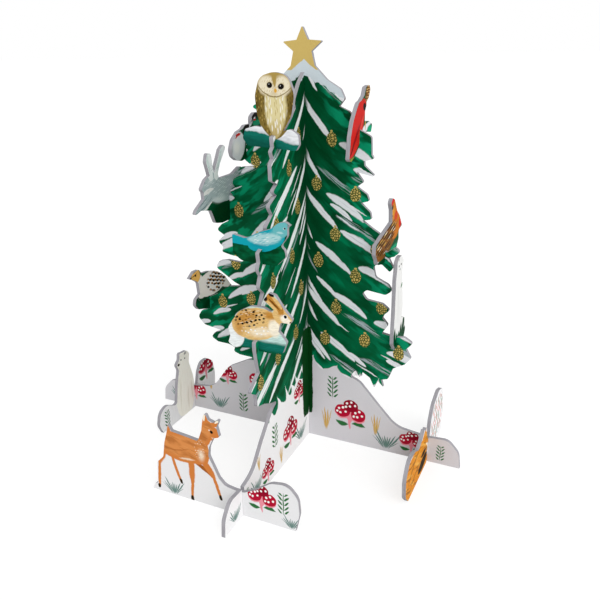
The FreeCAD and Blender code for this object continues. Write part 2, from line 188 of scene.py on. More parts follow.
def brush_group() -> bpy.types.NodeTree:
    """Makes the shared group that turns a unit square into one pull of a brush.

    Its vector runs from -1 to 1 along the pull and across it. The pull is widest in the middle,
    and Blunt near zero keeps that width nearly to its ends.

    Returns:
        The node group, made on the first call.
    """
    name = "brush pull"
    if name in bpy.data.node_groups:
        return bpy.data.node_groups[name]
    tree = bpy.data.node_groups.new(name, "ShaderNodeTree")
    tree.interface.new_socket("Vector", in_out="INPUT", socket_type="NodeSocketVector")
    for label in ("Bend", "Blunt", "Soft", "Cover"):
        tree.interface.new_socket(label, in_out="INPUT", socket_type="NodeSocketFloat")
    tree.interface.new_socket("Mask", in_out="OUTPUT", socket_type="NodeSocketFloat")
    group = Nodes(tree)
    place, bend, blunt, soft, cover, _ = group.add("NodeGroupInput")
    along, across, _ = group.add("SeparateXYZ", (place,))
    square = group.add("Math MULTIPLY", (along, along))[0]
    rest = group.add("Math SUBTRACT", (1, square))[0]
    bowed = group.add("Math MULTIPLY_ADD", (rest, bend, across))[0]
    away = group.add("Math ABSOLUTE", (bowed,))[0]
    width = group.add("Math POWER", (rest, blunt))[0]
    inside = group.add("Math SUBTRACT", (width, away))[0]
    edge = {"Value": inside, "From Max": soft, "To Max": cover}
    mask = group.add("MapRange", edge, interpolation_type="SMOOTHSTEP")[0]
    group.add("NodeGroupOutput", (mask,))
    return tree


@dataclass(frozen=True)
class Spot:
    """Where a small motif stands, and half its size."""

    u: float
    v: float
    half: float


class Painting(Nodes):
    """The layers of one printed sheet, added to its material's nodes in painting order."""

    WOBBLES = ((0.6, 9), (0.25, 2.2))
    MOTIF_REACH = 1.3
    FAR_AWAY = (9, 9, 0)

    def __init__(self, tree: bpy.types.NodeTree, across: Across, ground: Ink) -> None:
        """Starts with the bare card.

        Args:
            tree: The material's node tree.
            across: Which way the sheet runs.
            ground: The card's colour, with painted shade on some sheets.
        """
        super().__init__(tree)
        place = self.add("TexCoord")
        self.normal = place["Normal"]
        scaled = {0: place["Object"], "Scale": MILLIMETRES}
        self.place = self.add("VectorMath SCALE", scaled)[0]
        axes = self.add("SeparateXYZ", (self.place,))
        self.point = self.add("CombineXYZ", (axes[across.value], axes["Z"]))[0]
        for reach, size in self.WOBBLES:
            self.point = self.shaken(self.point, reach, size)
        self.u, self.v, _ = self.add("SeparateXYZ", (self.point,))
        self.colour: Socket | tuple = linear(ground)
        self.gold: Socket | float = 0.0
        self.light: Socket | float = 0.0

    def shaken(self, point: Socket, reach: float, size: float) -> Socket:
        """Shifts a point a little by noise, so painted edges look drawn by hand.

        Args:
            point: The point on the sheet.
            reach: The most it moves, in millimetres.
            size: The size of the noise, in millimetres.

        Returns:
            The moved point.
        """
        given = {"Vector": point, "Scale": 1 / size, "Detail": 1}
        noise = self.add("TexNoise", given, noise_dimensions="2D")["Color"]
        centred = self.add("VectorMath SUBTRACT", (noise, (0.5, 0.5, 0.5)))[0]
        shift = (centred, (2 * reach, 2 * reach, 0), point)
        return self.add("VectorMath MULTIPLY_ADD", shift)[0]

    def framed(
        self,
        point: Socket | None = None,
        middle: Pair = (0, 0),
        turn: float = 0,
        halves: Pair = (1, 1),
    ) -> Socket:
        """Gives the point in a frame of its own, so a mark there runs from -1 to 1.

        Args:
            point: The point on the sheet, if it isn't the plain one.
            middle: Where the frame's middle is, in millimetres.
            turn: How far it is turned anticlockwise, in radians.
            halves: Half its length and width, in millimetres.

        Returns:
            The point in the frame.
        """
        given = {
            "Vector": point or self.point,
            "Location": (*middle, 0),
            "Rotation": (0, 0, turn),
            "Scale": (*halves, 1),
        }
        return self.add("Mapping", given, vector_type="TEXTURE")[0]

    def turned(self, degrees: float) -> Socket:
        """Gives the plain point, with its first axis turned anticlockwise."""
        return self.framed(turn=math.radians(degrees)) if degrees else self.point

    def rise(self, value: Socket, low: float, high: float, full: float = 1) -> Socket:
        """Rises smoothly from nothing at one value to full at another.

        Args:
            value: The number that is followed.
            low: Where the result is nothing.
            high: Where it is full; less than low for a falling edge.
            full: The most it gives.

        Returns:
            The result.
        """
        given = {"Value": value, "From Min": low, "From Max": high, "To Max": full}
        return self.add("MapRange", given, interpolation_type="SMOOTHSTEP")[0]

    def noise(
        self, point: Socket, size: Pair, low: float = 0.3, high: float = 0.7, full: float = 1
    ) -> Socket:
        """Gives soft noise of a real size.

        Args:
            point: The point on the sheet.
            size: The noise's size along each axis, in millimetres.
            low: The raw noise that counts as nothing.
            high: The raw noise that counts as full.
            full: The most it gives.

        Returns:
            The noise.
        """
        stretch = (point, (1 / size[0], 1 / size[1], 0))
        scaled = self.add("VectorMath MULTIPLY", stretch)[0]
        given = {"Vector": scaled, "Scale": 1, "Detail": 2}
        return self.rise(self.add("TexNoise", given, noise_dimensions="2D")[0], low, high, full)

    def wash(self, ink: Ink, mask: Socket | float) -> None:
        """Lays an ink over what is there, as strongly as a mask says.

        Args:
            ink: The ink.
            mask: How much of it, from 0 to 1.
        """
        given = {0: mask, 6: self.colour, 7: linear(ink)}
        self.colour = self.add("Mix", given, data_type="RGBA")[2]

    def shade(self, value: Socket, darkest: float, lightest: float) -> None:
        """Makes the layers so far darker or lighter by a pattern.

        Args:
            value: The pattern, from 0 to 1.
            darkest: The brightness where it is 0.
            lightest: The brightness where it is 1.
        """
        level = self.add("MapRange", {"Value": value, "To Min": darkest, "To Max": lightest})[0]
        given = {0: self.colour, "Scale": level}
        self.colour = self.add("VectorMath SCALE", given)[0]

    def brush(
        self, local: Socket, bend: float, blunt: float, soft: float, cover: Socket | float
    ) -> Socket:
        """Gives the mask of one brush pull from its own unit square.

        Args:
            local: The point, from -1 to 1 along and across the pull.
            bend: How far the middle bows sideways, in half widths.
            blunt: How square the ends are, nearer 0 for squarer.
            soft: The width of the soft rim, in half widths.
            cover: The strength of the ink.

        Returns:
            The mask.
        """
        return self.add("Group", (local, bend, blunt, soft, cover), node_tree=brush_group())[0]

    def nearest(self, spots: tuple[Spot, ...], point: Socket | None = None) -> Socket:
        """Gives the point as seen from whichever spot it lies in.

        Args:
            spots: Where the motifs stand.
            point: The point on the sheet, if it isn't the plain one.

        Returns:
            The point in the spot's own square of -1 to 1, or far away between spots.
        """
        best: Socket | tuple = self.FAR_AWAY
        for spot in spots:
            scale = 1 / spot.half
            shift = (-spot.u * scale, -spot.v * scale, 0)
            given = (point or self.point, (scale, scale, 0), shift)
            local = self.add("VectorMath MULTIPLY_ADD", given)[0]
            away = self.add("VectorMath LENGTH", (local,))["Value"]
            near = self.add("Math LESS_THAN", (away, self.MOTIF_REACH))[0]
            best = self.add("Mix", {0: near, 4: best, 5: local}, data_type="VECTOR")[1]
        return best


@dataclass(frozen=True)
class Wash:
    """A wash of one ink over the whole sheet; the marks below give it a shape."""

    ink: Ink
    _: KW_ONLY
    within: "Wash | None" = None

    def shape(self, art: Painting, point: Socket | None) -> Socket | float:
        """Gives the mark's own shape on the painting, seen from the point or the plain one."""
        return 1.0

    def mask(self, art: Painting, point: Socket | None = None) -> Socket | float:
        """Gives how strongly the mark's ink is laid.

        Args:
            art: The sheet's painting.
            point: The point on the sheet, if it isn't the plain one.

        Returns:
            The mark's shape, kept within another mark's if it has one.
        """
        shape = self.shape(art, point)
        if self.within is None:
            return shape
        return art.add("Math MULTIPLY", (shape, self.within.mask(art)))[0]

    def paint(self, art: Painting, point: Socket | None = None) -> None:
        """Paints the mark, on the plain point unless another is given."""
        art.wash(self.ink, self.mask(art, point))


@dataclass(frozen=True)
class Blot(Wash):
    """A round or oval dab, in millimetres and degrees."""

    u: float
    v: float
    half_u: float
    half_v: float
    turn: float = 0
    soft: float = 0.2
    cover: float = 1

    def shape(self, art: Painting, point: Socket | None) -> Socket:
        """Gives the dab's oval with its soft rim.

        Args:
            art: The sheet's painting.
            point: The point on the sheet, if it isn't the plain one.

        Returns:
            The mask.
        """
        halves = (self.half_u, self.half_v)
        local = art.framed(point, (self.u, self.v), math.radians(self.turn), halves)
        away = art.add("VectorMath LENGTH", (local,))["Value"]
        return art.rise(away, 1, 1 - self.soft, self.cover)


@dataclass(frozen=True)
class Stroke(Wash):
    """One pull of a brush between two points, in millimetres."""

    start: Pair
    end: Pair
    width: float
    bend: float = 0
    blunt: float = 0.5
    soft: float = 0.35
    cover: float = 1

    def shape(self, art: Painting, point: Socket | None) -> Socket:
        """Gives the pull of the brush.

        Args:
            art: The sheet's painting.
            point: The point on the sheet, if it isn't the plain one.

        Returns:
            The mask.
        """
        start, end = Vector(self.start), Vector(self.end)
        run = end - start
        halves = (run.length / 2, self.width / 2)
        local = art.framed(point, (start + end) / 2, math.atan2(run.y, run.x), halves)
        bend = -2 * self.bend / self.width
        return art.brush(local, bend, self.blunt, self.soft, self.cover)


@dataclass(frozen=True)
class Field(Wash):
    """Brush pulls or dots that fill an area, one to a cell of a staggered grid.

    The cell is in millimetres along and across the pulls. Length and thick are a pull's own part
    of its cell, share is the part of the cells that have one, and turn is where the pulls point,
    in degrees.
    """

    cell: Pair
    length: float = 0.9
    thick: float = 0.4
    share: float = 1
    drift: float = 0.3
    seed: int = 0
    blunt: float = 0.6
    bend: float = 0
    soft: float = 0.3
    cover: float = 1
    turn: float = 0
    stagger: float = 0.37
    seed_step: Pair = (7.31, 3.17)

    def shape(self, art: Painting, point: Socket | None) -> Socket:
        """Gives all the field's pulls.

        Args:
            art: The sheet's painting.
            point: The point on the sheet, its first axis along the pulls.

        Returns:
            The mask.
        """
        start = (*(step * self.seed for step in self.seed_step), self.seed)
        given = (point or art.turned(self.turn), (1 / self.cell[0], 1 / self.cell[1], 0), start)
        scaled = art.add("VectorMath MULTIPLY_ADD", given)[0]
        along, across, _ = art.add("SeparateXYZ", (scaled,))
        row = art.add("Math FLOOR", (across,))[0]
        along = art.add("Math MULTIPLY_ADD", (row, self.stagger, along))[0]
        grid = art.add("CombineXYZ", (along, across, self.seed))[0]
        cell = art.add("VectorMath FLOOR", (grid,))[0]
        chance = art.add("TexWhiteNoise", (cell,), noise_dimensions="3D")
        inside = art.add("VectorMath FRACTION", (grid,))[0]
        room = Vector((1 - self.length, 1 - self.thick, 0)) * self.drift
        given = (chance["Color"], room, inside)
        drifted = art.add("VectorMath MULTIPLY_ADD", given)[0]
        middle = Vector((0.5, 0.5, 0)) + room / 2
        centred = art.add("VectorMath SUBTRACT", (drifted, middle))[0]
        given = (centred, (2 / self.length, 2 / self.thick, 0))
        local = art.add("VectorMath MULTIPLY", given)[0]
        there = art.add("Math LESS_THAN", (chance["Value"], self.share))[0]
        cover = art.add("Math MULTIPLY", (there, self.cover))[0]
        return art.brush(local, self.bend, self.blunt, self.soft, cover)


@dataclass(frozen=True)
class Band(Wash):
    """A wash that sets in with height: nothing at low, full at high, on a slope if it has one."""

    low: float
    high: float
    full: float = 1
    slope: float = 0
    ragged: float = 0
    ragged_size: Pair = (18, 8)

    def shape(self, art: Painting, point: Socket | None) -> Socket:
        """Gives the band, with a ragged edge if it has one.

        Args:
            art: The sheet's painting.
            point: Not used; a band always lies on the plain point.

        Returns:
            The mask.
        """
        level = art.v
        if self.slope:
            level = art.add("Math MULTIPLY_ADD", (art.u, self.slope, level))[0]
        if self.ragged:
            given = (art.noise(art.point, self.ragged_size), self.ragged, level)
            level = art.add("Math MULTIPLY_ADD", given)[0]
        return art.rise(level, self.low, self.high, self.full)


@dataclass(frozen=True)
class Mottle(Wash):
    """Soft patches or streaks of a real size, in millimetres and degrees."""

    size: Pair
    low: float = 0.3
    high: float = 0.7
    full: float = 1
    turn: float = 0

    def shape(self, art: Painting, point: Socket | None) -> Socket:
        """Gives the patches on the painting; they take no point but the turned plain one."""
        return art.noise(art.turned(self.turn), self.size, self.low, self.high, self.full)


@dataclass(frozen=True)
class Joined(Wash):
    """Several marks taken as one."""

    marks: tuple[Wash, ...]
    cover: float = 1

    def shape(self, art: Painting, point: Socket | None) -> Socket:
        """Gives all that the marks cover.

        Args:
            art: The sheet's painting.
            point: The point on the sheet, if it isn't the plain one.

        Returns:
            The mask.
        """
        whole, *others = (mark.mask(art, point) for mark in self.marks)
        for mask in others:
            whole = art.add("Math MAXIMUM", (whole, mask))[0]
        return art.add("Math MULTIPLY", (whole, self.cover))[0]


@dataclass(frozen=True)
class Grain:
    """Darker and lighter streaks over all that is painted so far."""

    size: Pair
    darkest: float
    lightest: float
    turn: float = 0

    def paint(self, art: Painting) -> None:
        """Shades the painting."""
        streaks = art.noise(art.turned(self.turn), self.size)
        art.shade(streaks, self.darkest, self.lightest)


@dataclass(frozen=True)
class Berries:
    """Bunches of three round berries on pink stalks with two leaves."""

    spots: tuple[Spot, ...]
    marks: tuple[Wash, ...] = (
        Stroke(Ink.PINK, (0, -1.02), (0.02, 0.5), 0.24, 0.05),
        Stroke(Ink.PINK, (0, -0.7), (-0.5, 0.2), 0.18, -0.1),
        Stroke(Ink.PINK, (0, -0.6), (0.48, 0.1), 0.18, 0.1),
        Stroke(Ink.SPRIG, (-0.06, -0.66), (-0.98, -0.5), 0.38, 0.1, 1),
        Stroke(Ink.SPRIG, (0.06, -0.6), (0.98, -0.66), 0.36, 0.1, 1),
        Blot(Ink.PINK, -0.5, 0.1, 0.5, 0.46, soft=0.06),
        Blot(Ink.CRIMSON, -0.5, 0.18, 0.5, 0.44, soft=0.06),
        Blot(Ink.PINK, 0.5, -0.02, 0.48, 0.46, soft=0.06),
        Blot(Ink.CRIMSON, 0.5, 0.06, 0.48, 0.44, soft=0.06),
        Blot(Ink.CRIMSON_DARK, 0.02, 0.6, 0.48, 0.42, soft=0.06),
    )
    dots: tuple[Pair, ...] = (
        (-0.72, 0.32), (-0.46, 0.42), (-0.62, 0.04), (-0.3, 0.16), (-0.82, 0.1),
        (0.3, 0.2), (0.56, 0.32), (0.44, -0.06), (0.74, 0.06), (0.22, -0.06),
        (-0.22, 0.74), (0.06, 0.86), (-0.02, 0.56), (0.3, 0.66), (-0.28, 0.5),
    )
    dot_half: float = 0.09

    def paint(self, art: Painting) -> None:
        """Paints every bunch at its spot.

        Args:
            art: The sheet's painting.
        """
        local = art.nearest(self.spots)
        dots = (Blot(Ink.WHITE, *dot, self.dot_half, self.dot_half, soft=0.3) for dot in self.dots)
        for mark in (*self.marks, *dots):
            mark.paint(art, local)


@dataclass(frozen=True)
class Fan:
    """Tufts of thin blades that spread from one foot, some short and some tall.

    Stretch turns a blade's run from foot to tip into the run of one brush pull.
    """

    tuft: Tuft
    spots: tuple[Spot, ...]
    shortest: float = 0.55
    first_blade: int = 40
    stretch: Pair = (1.15, -1.3)

    def paint(self, art: Painting) -> None:
        """Paints every tuft at its spot.

        Args:
            art: The sheet's painting.
        """
        ink, blades, spread, thick = self.tuft.value
        local = art.add("VectorMath ADD", (art.nearest(self.spots), (0, 1, 0)))[0]
        across, up, _ = art.add("SeparateXYZ", (local,))
        angle = art.add("Math ARCTAN2", (across, up))[0]
        turns = art.add("Math MULTIPLY_ADD", (angle, blades / spread / 2, self.first_blade))[0]
        blade = art.add("Math FLOOR", (turns,))[0]
        chance = art.add("TexWhiteNoise", {"W": blade}, noise_dimensions="1D")["Value"]
        reach = art.add("VectorMath LENGTH", (local,))["Value"]
        given = (chance, 1 - self.shortest, self.shortest)
        tall = art.add("Math MULTIPLY_ADD", given)[0]
        part = art.add("Math DIVIDE", (reach, tall))[0]
        along = art.add("Math MULTIPLY_ADD", (part, *self.stretch))[0]
        turn = art.add("Math FRACT", (turns,))[0]
        off = art.add("Math MULTIPLY_ADD", (turn, 2, -1))[0]
        wide = art.add("Math MULTIPLY", (off, reach))[0]
        side = art.add("Math MULTIPLY", (wide, spread / blades / thick))[0]
        place = art.add("CombineXYZ", (along, side))[0]
        lean = art.add("Math ABSOLUTE", (angle,))[0]
        near = art.add("Math LESS_THAN", (lean, spread))[0]
        art.wash(ink, art.brush(place, bend=0, blunt=0.7, soft=0.5, cover=near))


@dataclass(frozen=True)
class Sprigs:
    """Upright sprigs with pairs of small leaves.

    Each pair of numbers multiplies and then moves a distance, to lay a row of leaves out as
    brush pulls.
    """

    spots: tuple[Spot, ...]
    stem: Stroke = Stroke(Ink.SPRIG, (0, -1), (0, 0.95), 0.1)
    leaf_rows: Pair = (2.6, 20)
    leaf_climb: float = 0.9
    leaf_along: Pair = (4.6, -1.15)
    leaf_across: Pair = (2.9, -1.45)
    top: float = 0.86

    def paint(self, art: Painting) -> None:
        """Paints every sprig at its spot.

        Args:
            art: The sheet's painting.
        """
        local = art.nearest(self.spots)
        across, up, _ = art.add("SeparateXYZ", (local,))
        side = art.add("Math ABSOLUTE", (across,))[0]
        climb = art.add("Math MULTIPLY_ADD", (side, -self.leaf_climb, up))[0]
        rows = art.add("Math MULTIPLY_ADD", (climb, *self.leaf_rows))[0]
        step = art.add("Math FRACT", (rows,))[0]
        along = art.add("Math MULTIPLY_ADD", (side, *self.leaf_along))[0]
        over = art.add("Math MULTIPLY_ADD", (step, *self.leaf_across))[0]
        place = art.add("CombineXYZ", (along, over))[0]
        height = art.add("Math ABSOLUTE", (up,))[0]
        short = art.add("Math LESS_THAN", (height, self.top))[0]
        leaves = art.brush(place, bend=0, blunt=0.8, soft=0.4, cover=short)
        both = art.add("Math MAXIMUM", (leaves, self.stem.mask(art, local)))[0]
        art.wash(self.stem.ink, both)


@dataclass(frozen=True)
class Baubles:
    """Gold foil balls with a cap, flaked so that the green shows between."""

    spots: tuple[Spot, ...]
    ball: Blot = Blot(Ink.GOLD, 0, -0.1, 0.7, 0.9, soft=0.1)
    cap: Blot = Blot(Ink.GOLD, 0, 0.88, 0.2, 0.14, soft=0.3)
    flake: float = 2
    crack: Pair = (0.08, 0.24)

    def paint(self, art: Painting, point: Socket) -> None:
        """Paints every ball at its spot.

        Args:
            art: The sheet's painting.
            point: The point with both halves of the tree laid over each other.
        """
        local = art.nearest(self.spots, point)
        ball = self.ball.mask(art, local)
        given = {"Vector": art.point, "Scale": 1 / self.flake}
        edges = {"voronoi_dimensions": "2D", "feature": "DISTANCE_TO_EDGE"}
        flakes = art.rise(art.add("TexVoronoi", given, **edges)[0], *self.crack)
        foil = art.add("Math MULTIPLY", (ball, flakes))[0]
        foil = art.add("Math MAXIMUM", (foil, self.cap.mask(art, local)))[0]
        art.wash(Ink.FIR_DARK, ball)
        art.wash(Ink.GOLD, foil)
        art.gold = foil


@dataclass(frozen=True)
class PrintedGreyboard:
    """Greyboard faced with printed matt paper, die-cut.

    The faces have a dull even sheen with a fine paper tooth. The cut edge is bare, dry and
    fibrous, its plies drawn coarser than the real ones so that they show.
    """

    name: str
    across: Across
    print_roughness: float = 0.5
    edge_roughness: float = 0.95
    foil_roughness: float = 0.42
    foil_metal: float = 0.35
    ior: float = 1.48
    specular: float = 0.03
    thin_facing: float = 0.5
    tooth: float = 1.1
    tooth_range: Pair = (0.2, 0.8)
    tooth_shade: Pair = (0.985, 1.015)
    ply: float = 0.45
    fibre: float = 6
    fibre_range: Pair = (0.35, 0.7)
    relief: float = 0.00008
    relief_strength: float = 0.25

    def start(self, card: Ink) -> Painting:
        """Makes the material with bare card on it.

        Args:
            card: The card's colour, with painted shade on some sheets.

        Returns:
            The painting that the sheet's print goes on.
        """
        material = bpy.data.materials.new(self.name)
        material.use_nodes = True
        material.node_tree.nodes.clear()
        return Painting(material.node_tree, self.across, card)

    def finish(self, art: Painting) -> bpy.types.Material:
        """Adds the cut edge, the sheen and the grain, and closes the material.

        Args:
            art: The finished painting.

        Returns:
            The material.
        """
        facing = art.add("VectorMath ABSOLUTE", (art.normal,))[0]
        thin = art.add("SeparateXYZ", (facing,))[self.across.thin]
        cut = art.add("Math LESS_THAN", (thin, self.thin_facing))[0]
        tooth = art.noise(art.point, (self.tooth, self.tooth), *self.tooth_range)
        art.shade(tooth, *self.tooth_shade)
        printed = art.colour
        plies = (self.ply, self.fibre) if self.across is Across.Y else (self.fibre, self.ply)
        given = (art.place, tuple(1 / size for size in (*plies, self.fibre)))
        scaled = art.add("VectorMath MULTIPLY", given)[0]
        given = {"Vector": scaled, "Scale": 1, "Detail": 2}
        fibres = art.add("TexNoise", given, noise_dimensions="3D")[0]
        art.colour = linear(Ink.BOARD)
        art.wash(Ink.BOARD_LIGHT, art.rise(fibres, *self.fibre_range))
        colour = art.add("Mix", {0: cut, 6: printed, 7: art.colour}, data_type="RGBA")[2]
        faces = art.add("Math SUBTRACT", (1, cut))[0]
        foil = art.add("Math MULTIPLY", (art.gold, faces))[0]
        rough: Socket | float = self.print_roughness
        for part, roughness in ((cut, self.edge_roughness), (foil, self.foil_roughness)):
            given = (part, roughness - self.print_roughness, rough)
            rough = art.add("Math MULTIPLY_ADD", given)[0]
        relief = art.add("Mix", {0: cut, 2: tooth, 3: fibres}, data_type="FLOAT")[0]
        given = {"Strength": self.relief_strength, "Distance": self.relief, "Height": relief}
        given = {
            "Base Color": colour,
            "Roughness": rough,
            "Metallic": art.add("Math MULTIPLY", (foil, self.foil_metal))[0],
            "IOR": self.ior,
            "Specular IOR Level": self.specular,
            "Normal": art.add("Bump", given)[0],
        }
        art.add("OutputMaterial", {"Surface": art.add("BsdfPrincipled", given)[0]})
        return bpy.data.materials[self.name]


Layer = Wash | Grain | Berries | Fan | Sprigs


@dataclass(frozen=True)
class Sheet:
    """One cut sheet of the set, with the print it carries."""

    node: str
    across: Across
    card: Ink = Ink.CARD
    plants: tuple[Layer, ...] = ()
    layers: tuple[Layer, ...] = ()

    def paint(self, art: Painting) -> None:
        """Paints the small plants and then the picture on the bare card."""
        for layer in (*self.plants, *self.layers):
            layer.paint(art)

    def dress(self) -> None:
        """Prints the sheet and gives its material to the sheet's solid."""
        finish = PrintedGreyboard(f"printed greyboard, {self.node}", self.across)
        art = finish.start(self.card)
        self.paint(art)
        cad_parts[self.node].material_slots[0].material = finish.finish(art)
        LOG.info("%s printed, %d nodes", self.node, len(art.tree.nodes))


@dataclass(frozen=True)
class TreeBoard(Sheet):
    """One of the two tall sheets: a fir with snow on it, above a mound with small plants.

    The boughs fall away from the trunk as a power of the distance, and the right half is lifted
    and shifted so that the two halves differ. Heights are from the ground.
    """

    seed: int = 0
    snow: Ink = Ink.SNOW
    baubles: tuple[Spot, ...] = ()
    star: bool = False
    trunk_middle: float = 1
    trunk_width: float = 10
    trunk_run: Pair = (22.5, 108.5)
    trunk_clear: Pair = (1.5, 5)
    snow_share: float = 0.7
    line_share: float = 0.07
    dark_share: float = 0.7
    bright_share: float = 0.8
    small_share: float = 0.22
    stroke_cell: Pair = (37, 25)
    small_cell: Pair = (23, 17)
    shade_cell: Pair = (44, 25)
    line_cell: Pair = (24, 9)
    dry_size: Pair = (19, 1.2)
    dry_range: Pair = (0.4, 0.58)
    worn_size: Pair = (21, 1.9)
    worn_range: Pair = (0.58, 0.75)
    worn_share: float = 0.5
    deep_size: Pair = (26, 18)
    dark_size: Pair = (38, 13)
    dark_range: Pair = (0.45, 0.7)
    dark_heart: Pair = (34, 4)
    bright_size: Pair = (26, 11)
    bright_range: Pair = (0.52, 0.74)
    bright_run: Pair = (5, 30)
    tip_size: Pair = (17, 8)
    tip_range: Pair = (0.48, 0.62)
    tip_run: Pair = (0.45, 1)
    streak_size: Pair = (14, 1.6)
    streak_shade: Pair = (0.96, 1.04)
    droop: float = 9
    droop_power: float = 0.46
    half_shift: float = 300
    half_lift: float = 11
    hem: float = 81.5
    hem_slope: float = 0.14
    hem_rise: float = 5
    hem_stray: Pair = (30, 60)
    hem_soft: float = 0.5
    hem_rim: Pair = (9, 2)
    hem_near: float = 16
    lobe_depth: float = 9
    lobe_width: float = 26
    lobe_slant: float = -0.4
    lobe_power: float = 0.6
    finger_depth: float = 1
    finger_size: Pair = (70, 11)
    cap_peak: float = 318.5
    cap_slope: float = 0.52
    cap_drift: float = 3
    cap_drift_size: Pair = (8, 8)
    cap_drift_range: Pair = (0.35, 0.65)
    cap_soft: float = 0.5
    star_middle: float = 1
    star_foot: float = 328
    star_slope: float = 0.8
    star_low: float = 320
    star_soft: float = 0.4
    top: float = 320
    flare: float = 0.36
    crown: float = 20

    def paint(self, art: Painting) -> None:
        """Paints the mound's plants, then the fir over them.

        Args:
            art: The sheet's painting.
        """
        super().paint(art)
        ground = art.colour
        side = art.add("Math ABSOLUTE", (art.u,))[0]
        bough = self.paint_fir(art, side)
        edge = self.find_hem(art, side, bough)
        outside, inside = (self.hem + height for height in self.hem_rim)
        rim = art.rise(edge, outside, inside, self.bright_share)
        rim = art.add("Math MULTIPLY", (rim, art.rise(art.light, 1, 0)))[0]
        art.wash(Ink.FIR_BRIGHT, rim)
        fir = art.rise(edge, self.hem - self.hem_soft, self.hem + self.hem_soft)
        art.colour = art.add("Mix", {0: fir, 6: ground, 7: art.colour}, data_type="RGBA")[2]
        art.gold = art.add("Math MULTIPLY", (art.gold, fir))[0]
        foot, head = ((self.trunk_middle, height) for height in self.trunk_run)
        Stroke(Ink.TRUNK, foot, head, self.trunk_width, blunt=0.1, soft=0.1).paint(art)
        if self.star:
            self.paint_star(art)

    def find_hem(self, art: Painting, side: Socket, bough: Socket) -> Socket:
        """Measures the height over the fir's hem, with its hanging lobes and fingers.

        Args:
            art: The sheet's painting.
            side: How far the point is from the trunk.
            bough: The point measured along and across the drooping boughs.

        Returns:
            The height, to be held against the hem's own.
        """
        stray = art.noise(art.point, self.hem_stray)
        lean = art.add("Math MULTIPLY_ADD", (art.v, self.lobe_slant, side))[0]
        lean = art.add("Math MULTIPLY_ADD", (stray, self.lobe_width / 2, lean))[0]
        swing = art.add("Math MULTIPLY", (lean, math.pi / self.lobe_width))[0]
        swing = art.add("Math SINE", (swing,))[0]
        swing = art.add("Math ABSOLUTE", (swing,))[0]
        lobes = art.add("Math POWER", (swing, self.lobe_power))[0]
        fingers = art.noise(bough, self.finger_size)
        edge = art.v
        depths = (self.lobe_depth, self.finger_depth, self.hem_slope)
        for part, depth in zip((lobes, fingers, side), depths):
            edge = art.add("Math MULTIPLY_ADD", (part, depth, edge))[0]
        near = art.rise(side, self.hem_near, 0, self.hem_rise)
        return art.add("Math SUBTRACT", (edge, near))[0]

    def paint_fir(self, art: Painting, side: Socket) -> Socket:
        """Paints the fir's greens, its snow and its baubles.

        Args:
            art: The sheet's painting.
            side: How far the point is from the trunk.

        Returns:
            The point measured along and across the drooping boughs.
        """
        half = art.add("Math SIGN", (art.u,))[0]
        along = art.add("Math MULTIPLY_ADD", (half, self.half_shift, side))[0]
        fall = art.add("Math POWER", (side, self.droop_power))[0]
        flow = art.add("Math MULTIPLY_ADD", (fall, self.droop, art.v))[0]
        flow = art.add("Math MULTIPLY_ADD", (half, self.half_lift, flow))[0]
        bough = art.add("CombineXYZ", (along, flow))[0]
        off_trunk = art.rise(side, *self.trunk_clear)
        self.paint_greens(art, side, bough)
        dry = art.noise(bough, self.dry_size, *self.dry_range)
        dry = art.add("Math MULTIPLY", (dry, off_trunk))[0]
        grey = Field(
            Ink.SNOW_SHADE, self.shade_cell, length=0.9, thick=0.3, share=0.4, drift=1,
            seed=self.seed + 3, blunt=0.6, bend=-0.8, soft=0.6, cover=0.9,
        ).mask(art, bough)
        grey = art.add("Math MULTIPLY", (dry, grey))[0]
        art.wash(Ink.SNOW_SHADE, grey)
        large = Field(
            self.snow, self.stroke_cell, length=0.88, thick=0.34, share=self.snow_share, drift=1,
            seed=self.seed + 4, blunt=0.45, bend=-0.8,
        )
        small = Field(
            self.snow, self.small_cell, length=0.84, thick=0.34, share=self.small_share, drift=1,
            seed=self.seed + 6, blunt=0.4, bend=-0.5,
        )
        snow = Joined(self.snow, (large, small)).mask(art, bough)
        snow = art.add("Math MULTIPLY", (snow, off_trunk))[0]
        art.wash(self.snow, snow)
        worn = art.noise(bough, self.worn_size, *self.worn_range, self.worn_share)
        art.wash(Ink.SNOW_SHADE, art.add("Math MULTIPLY", (snow, worn))[0])
        art.light = art.add("Math MAXIMUM", (snow, grey))[0]
        lines = Field(
            self.snow, self.line_cell, length=0.85, thick=0.2, share=self.line_share, drift=1,
            seed=self.seed + 5, blunt=0.6, bend=-0.3, cover=0.9,
        ).mask(art, bough)
        art.wash(self.snow, art.add("Math MULTIPLY", (lines, off_trunk))[0])
        drift = art.noise(art.point, self.cap_drift_size, *self.cap_drift_range)
        cap = art.add("Math MULTIPLY_ADD", (side, self.cap_slope, art.v))[0]
        cap = art.add("Math MULTIPLY_ADD", (drift, self.cap_drift, cap))[0]
        low, high = self.cap_peak - self.cap_soft, self.cap_peak + self.cap_soft
        art.wash(Ink.SNOW_CAP, art.rise(cap, low, high))
        lifted = art.add("Math MULTIPLY_ADD", (half, self.half_lift, art.v))[0]
        Baubles(self.baubles).paint(art, art.add("CombineXYZ", (side, lifted))[0])
        return bough

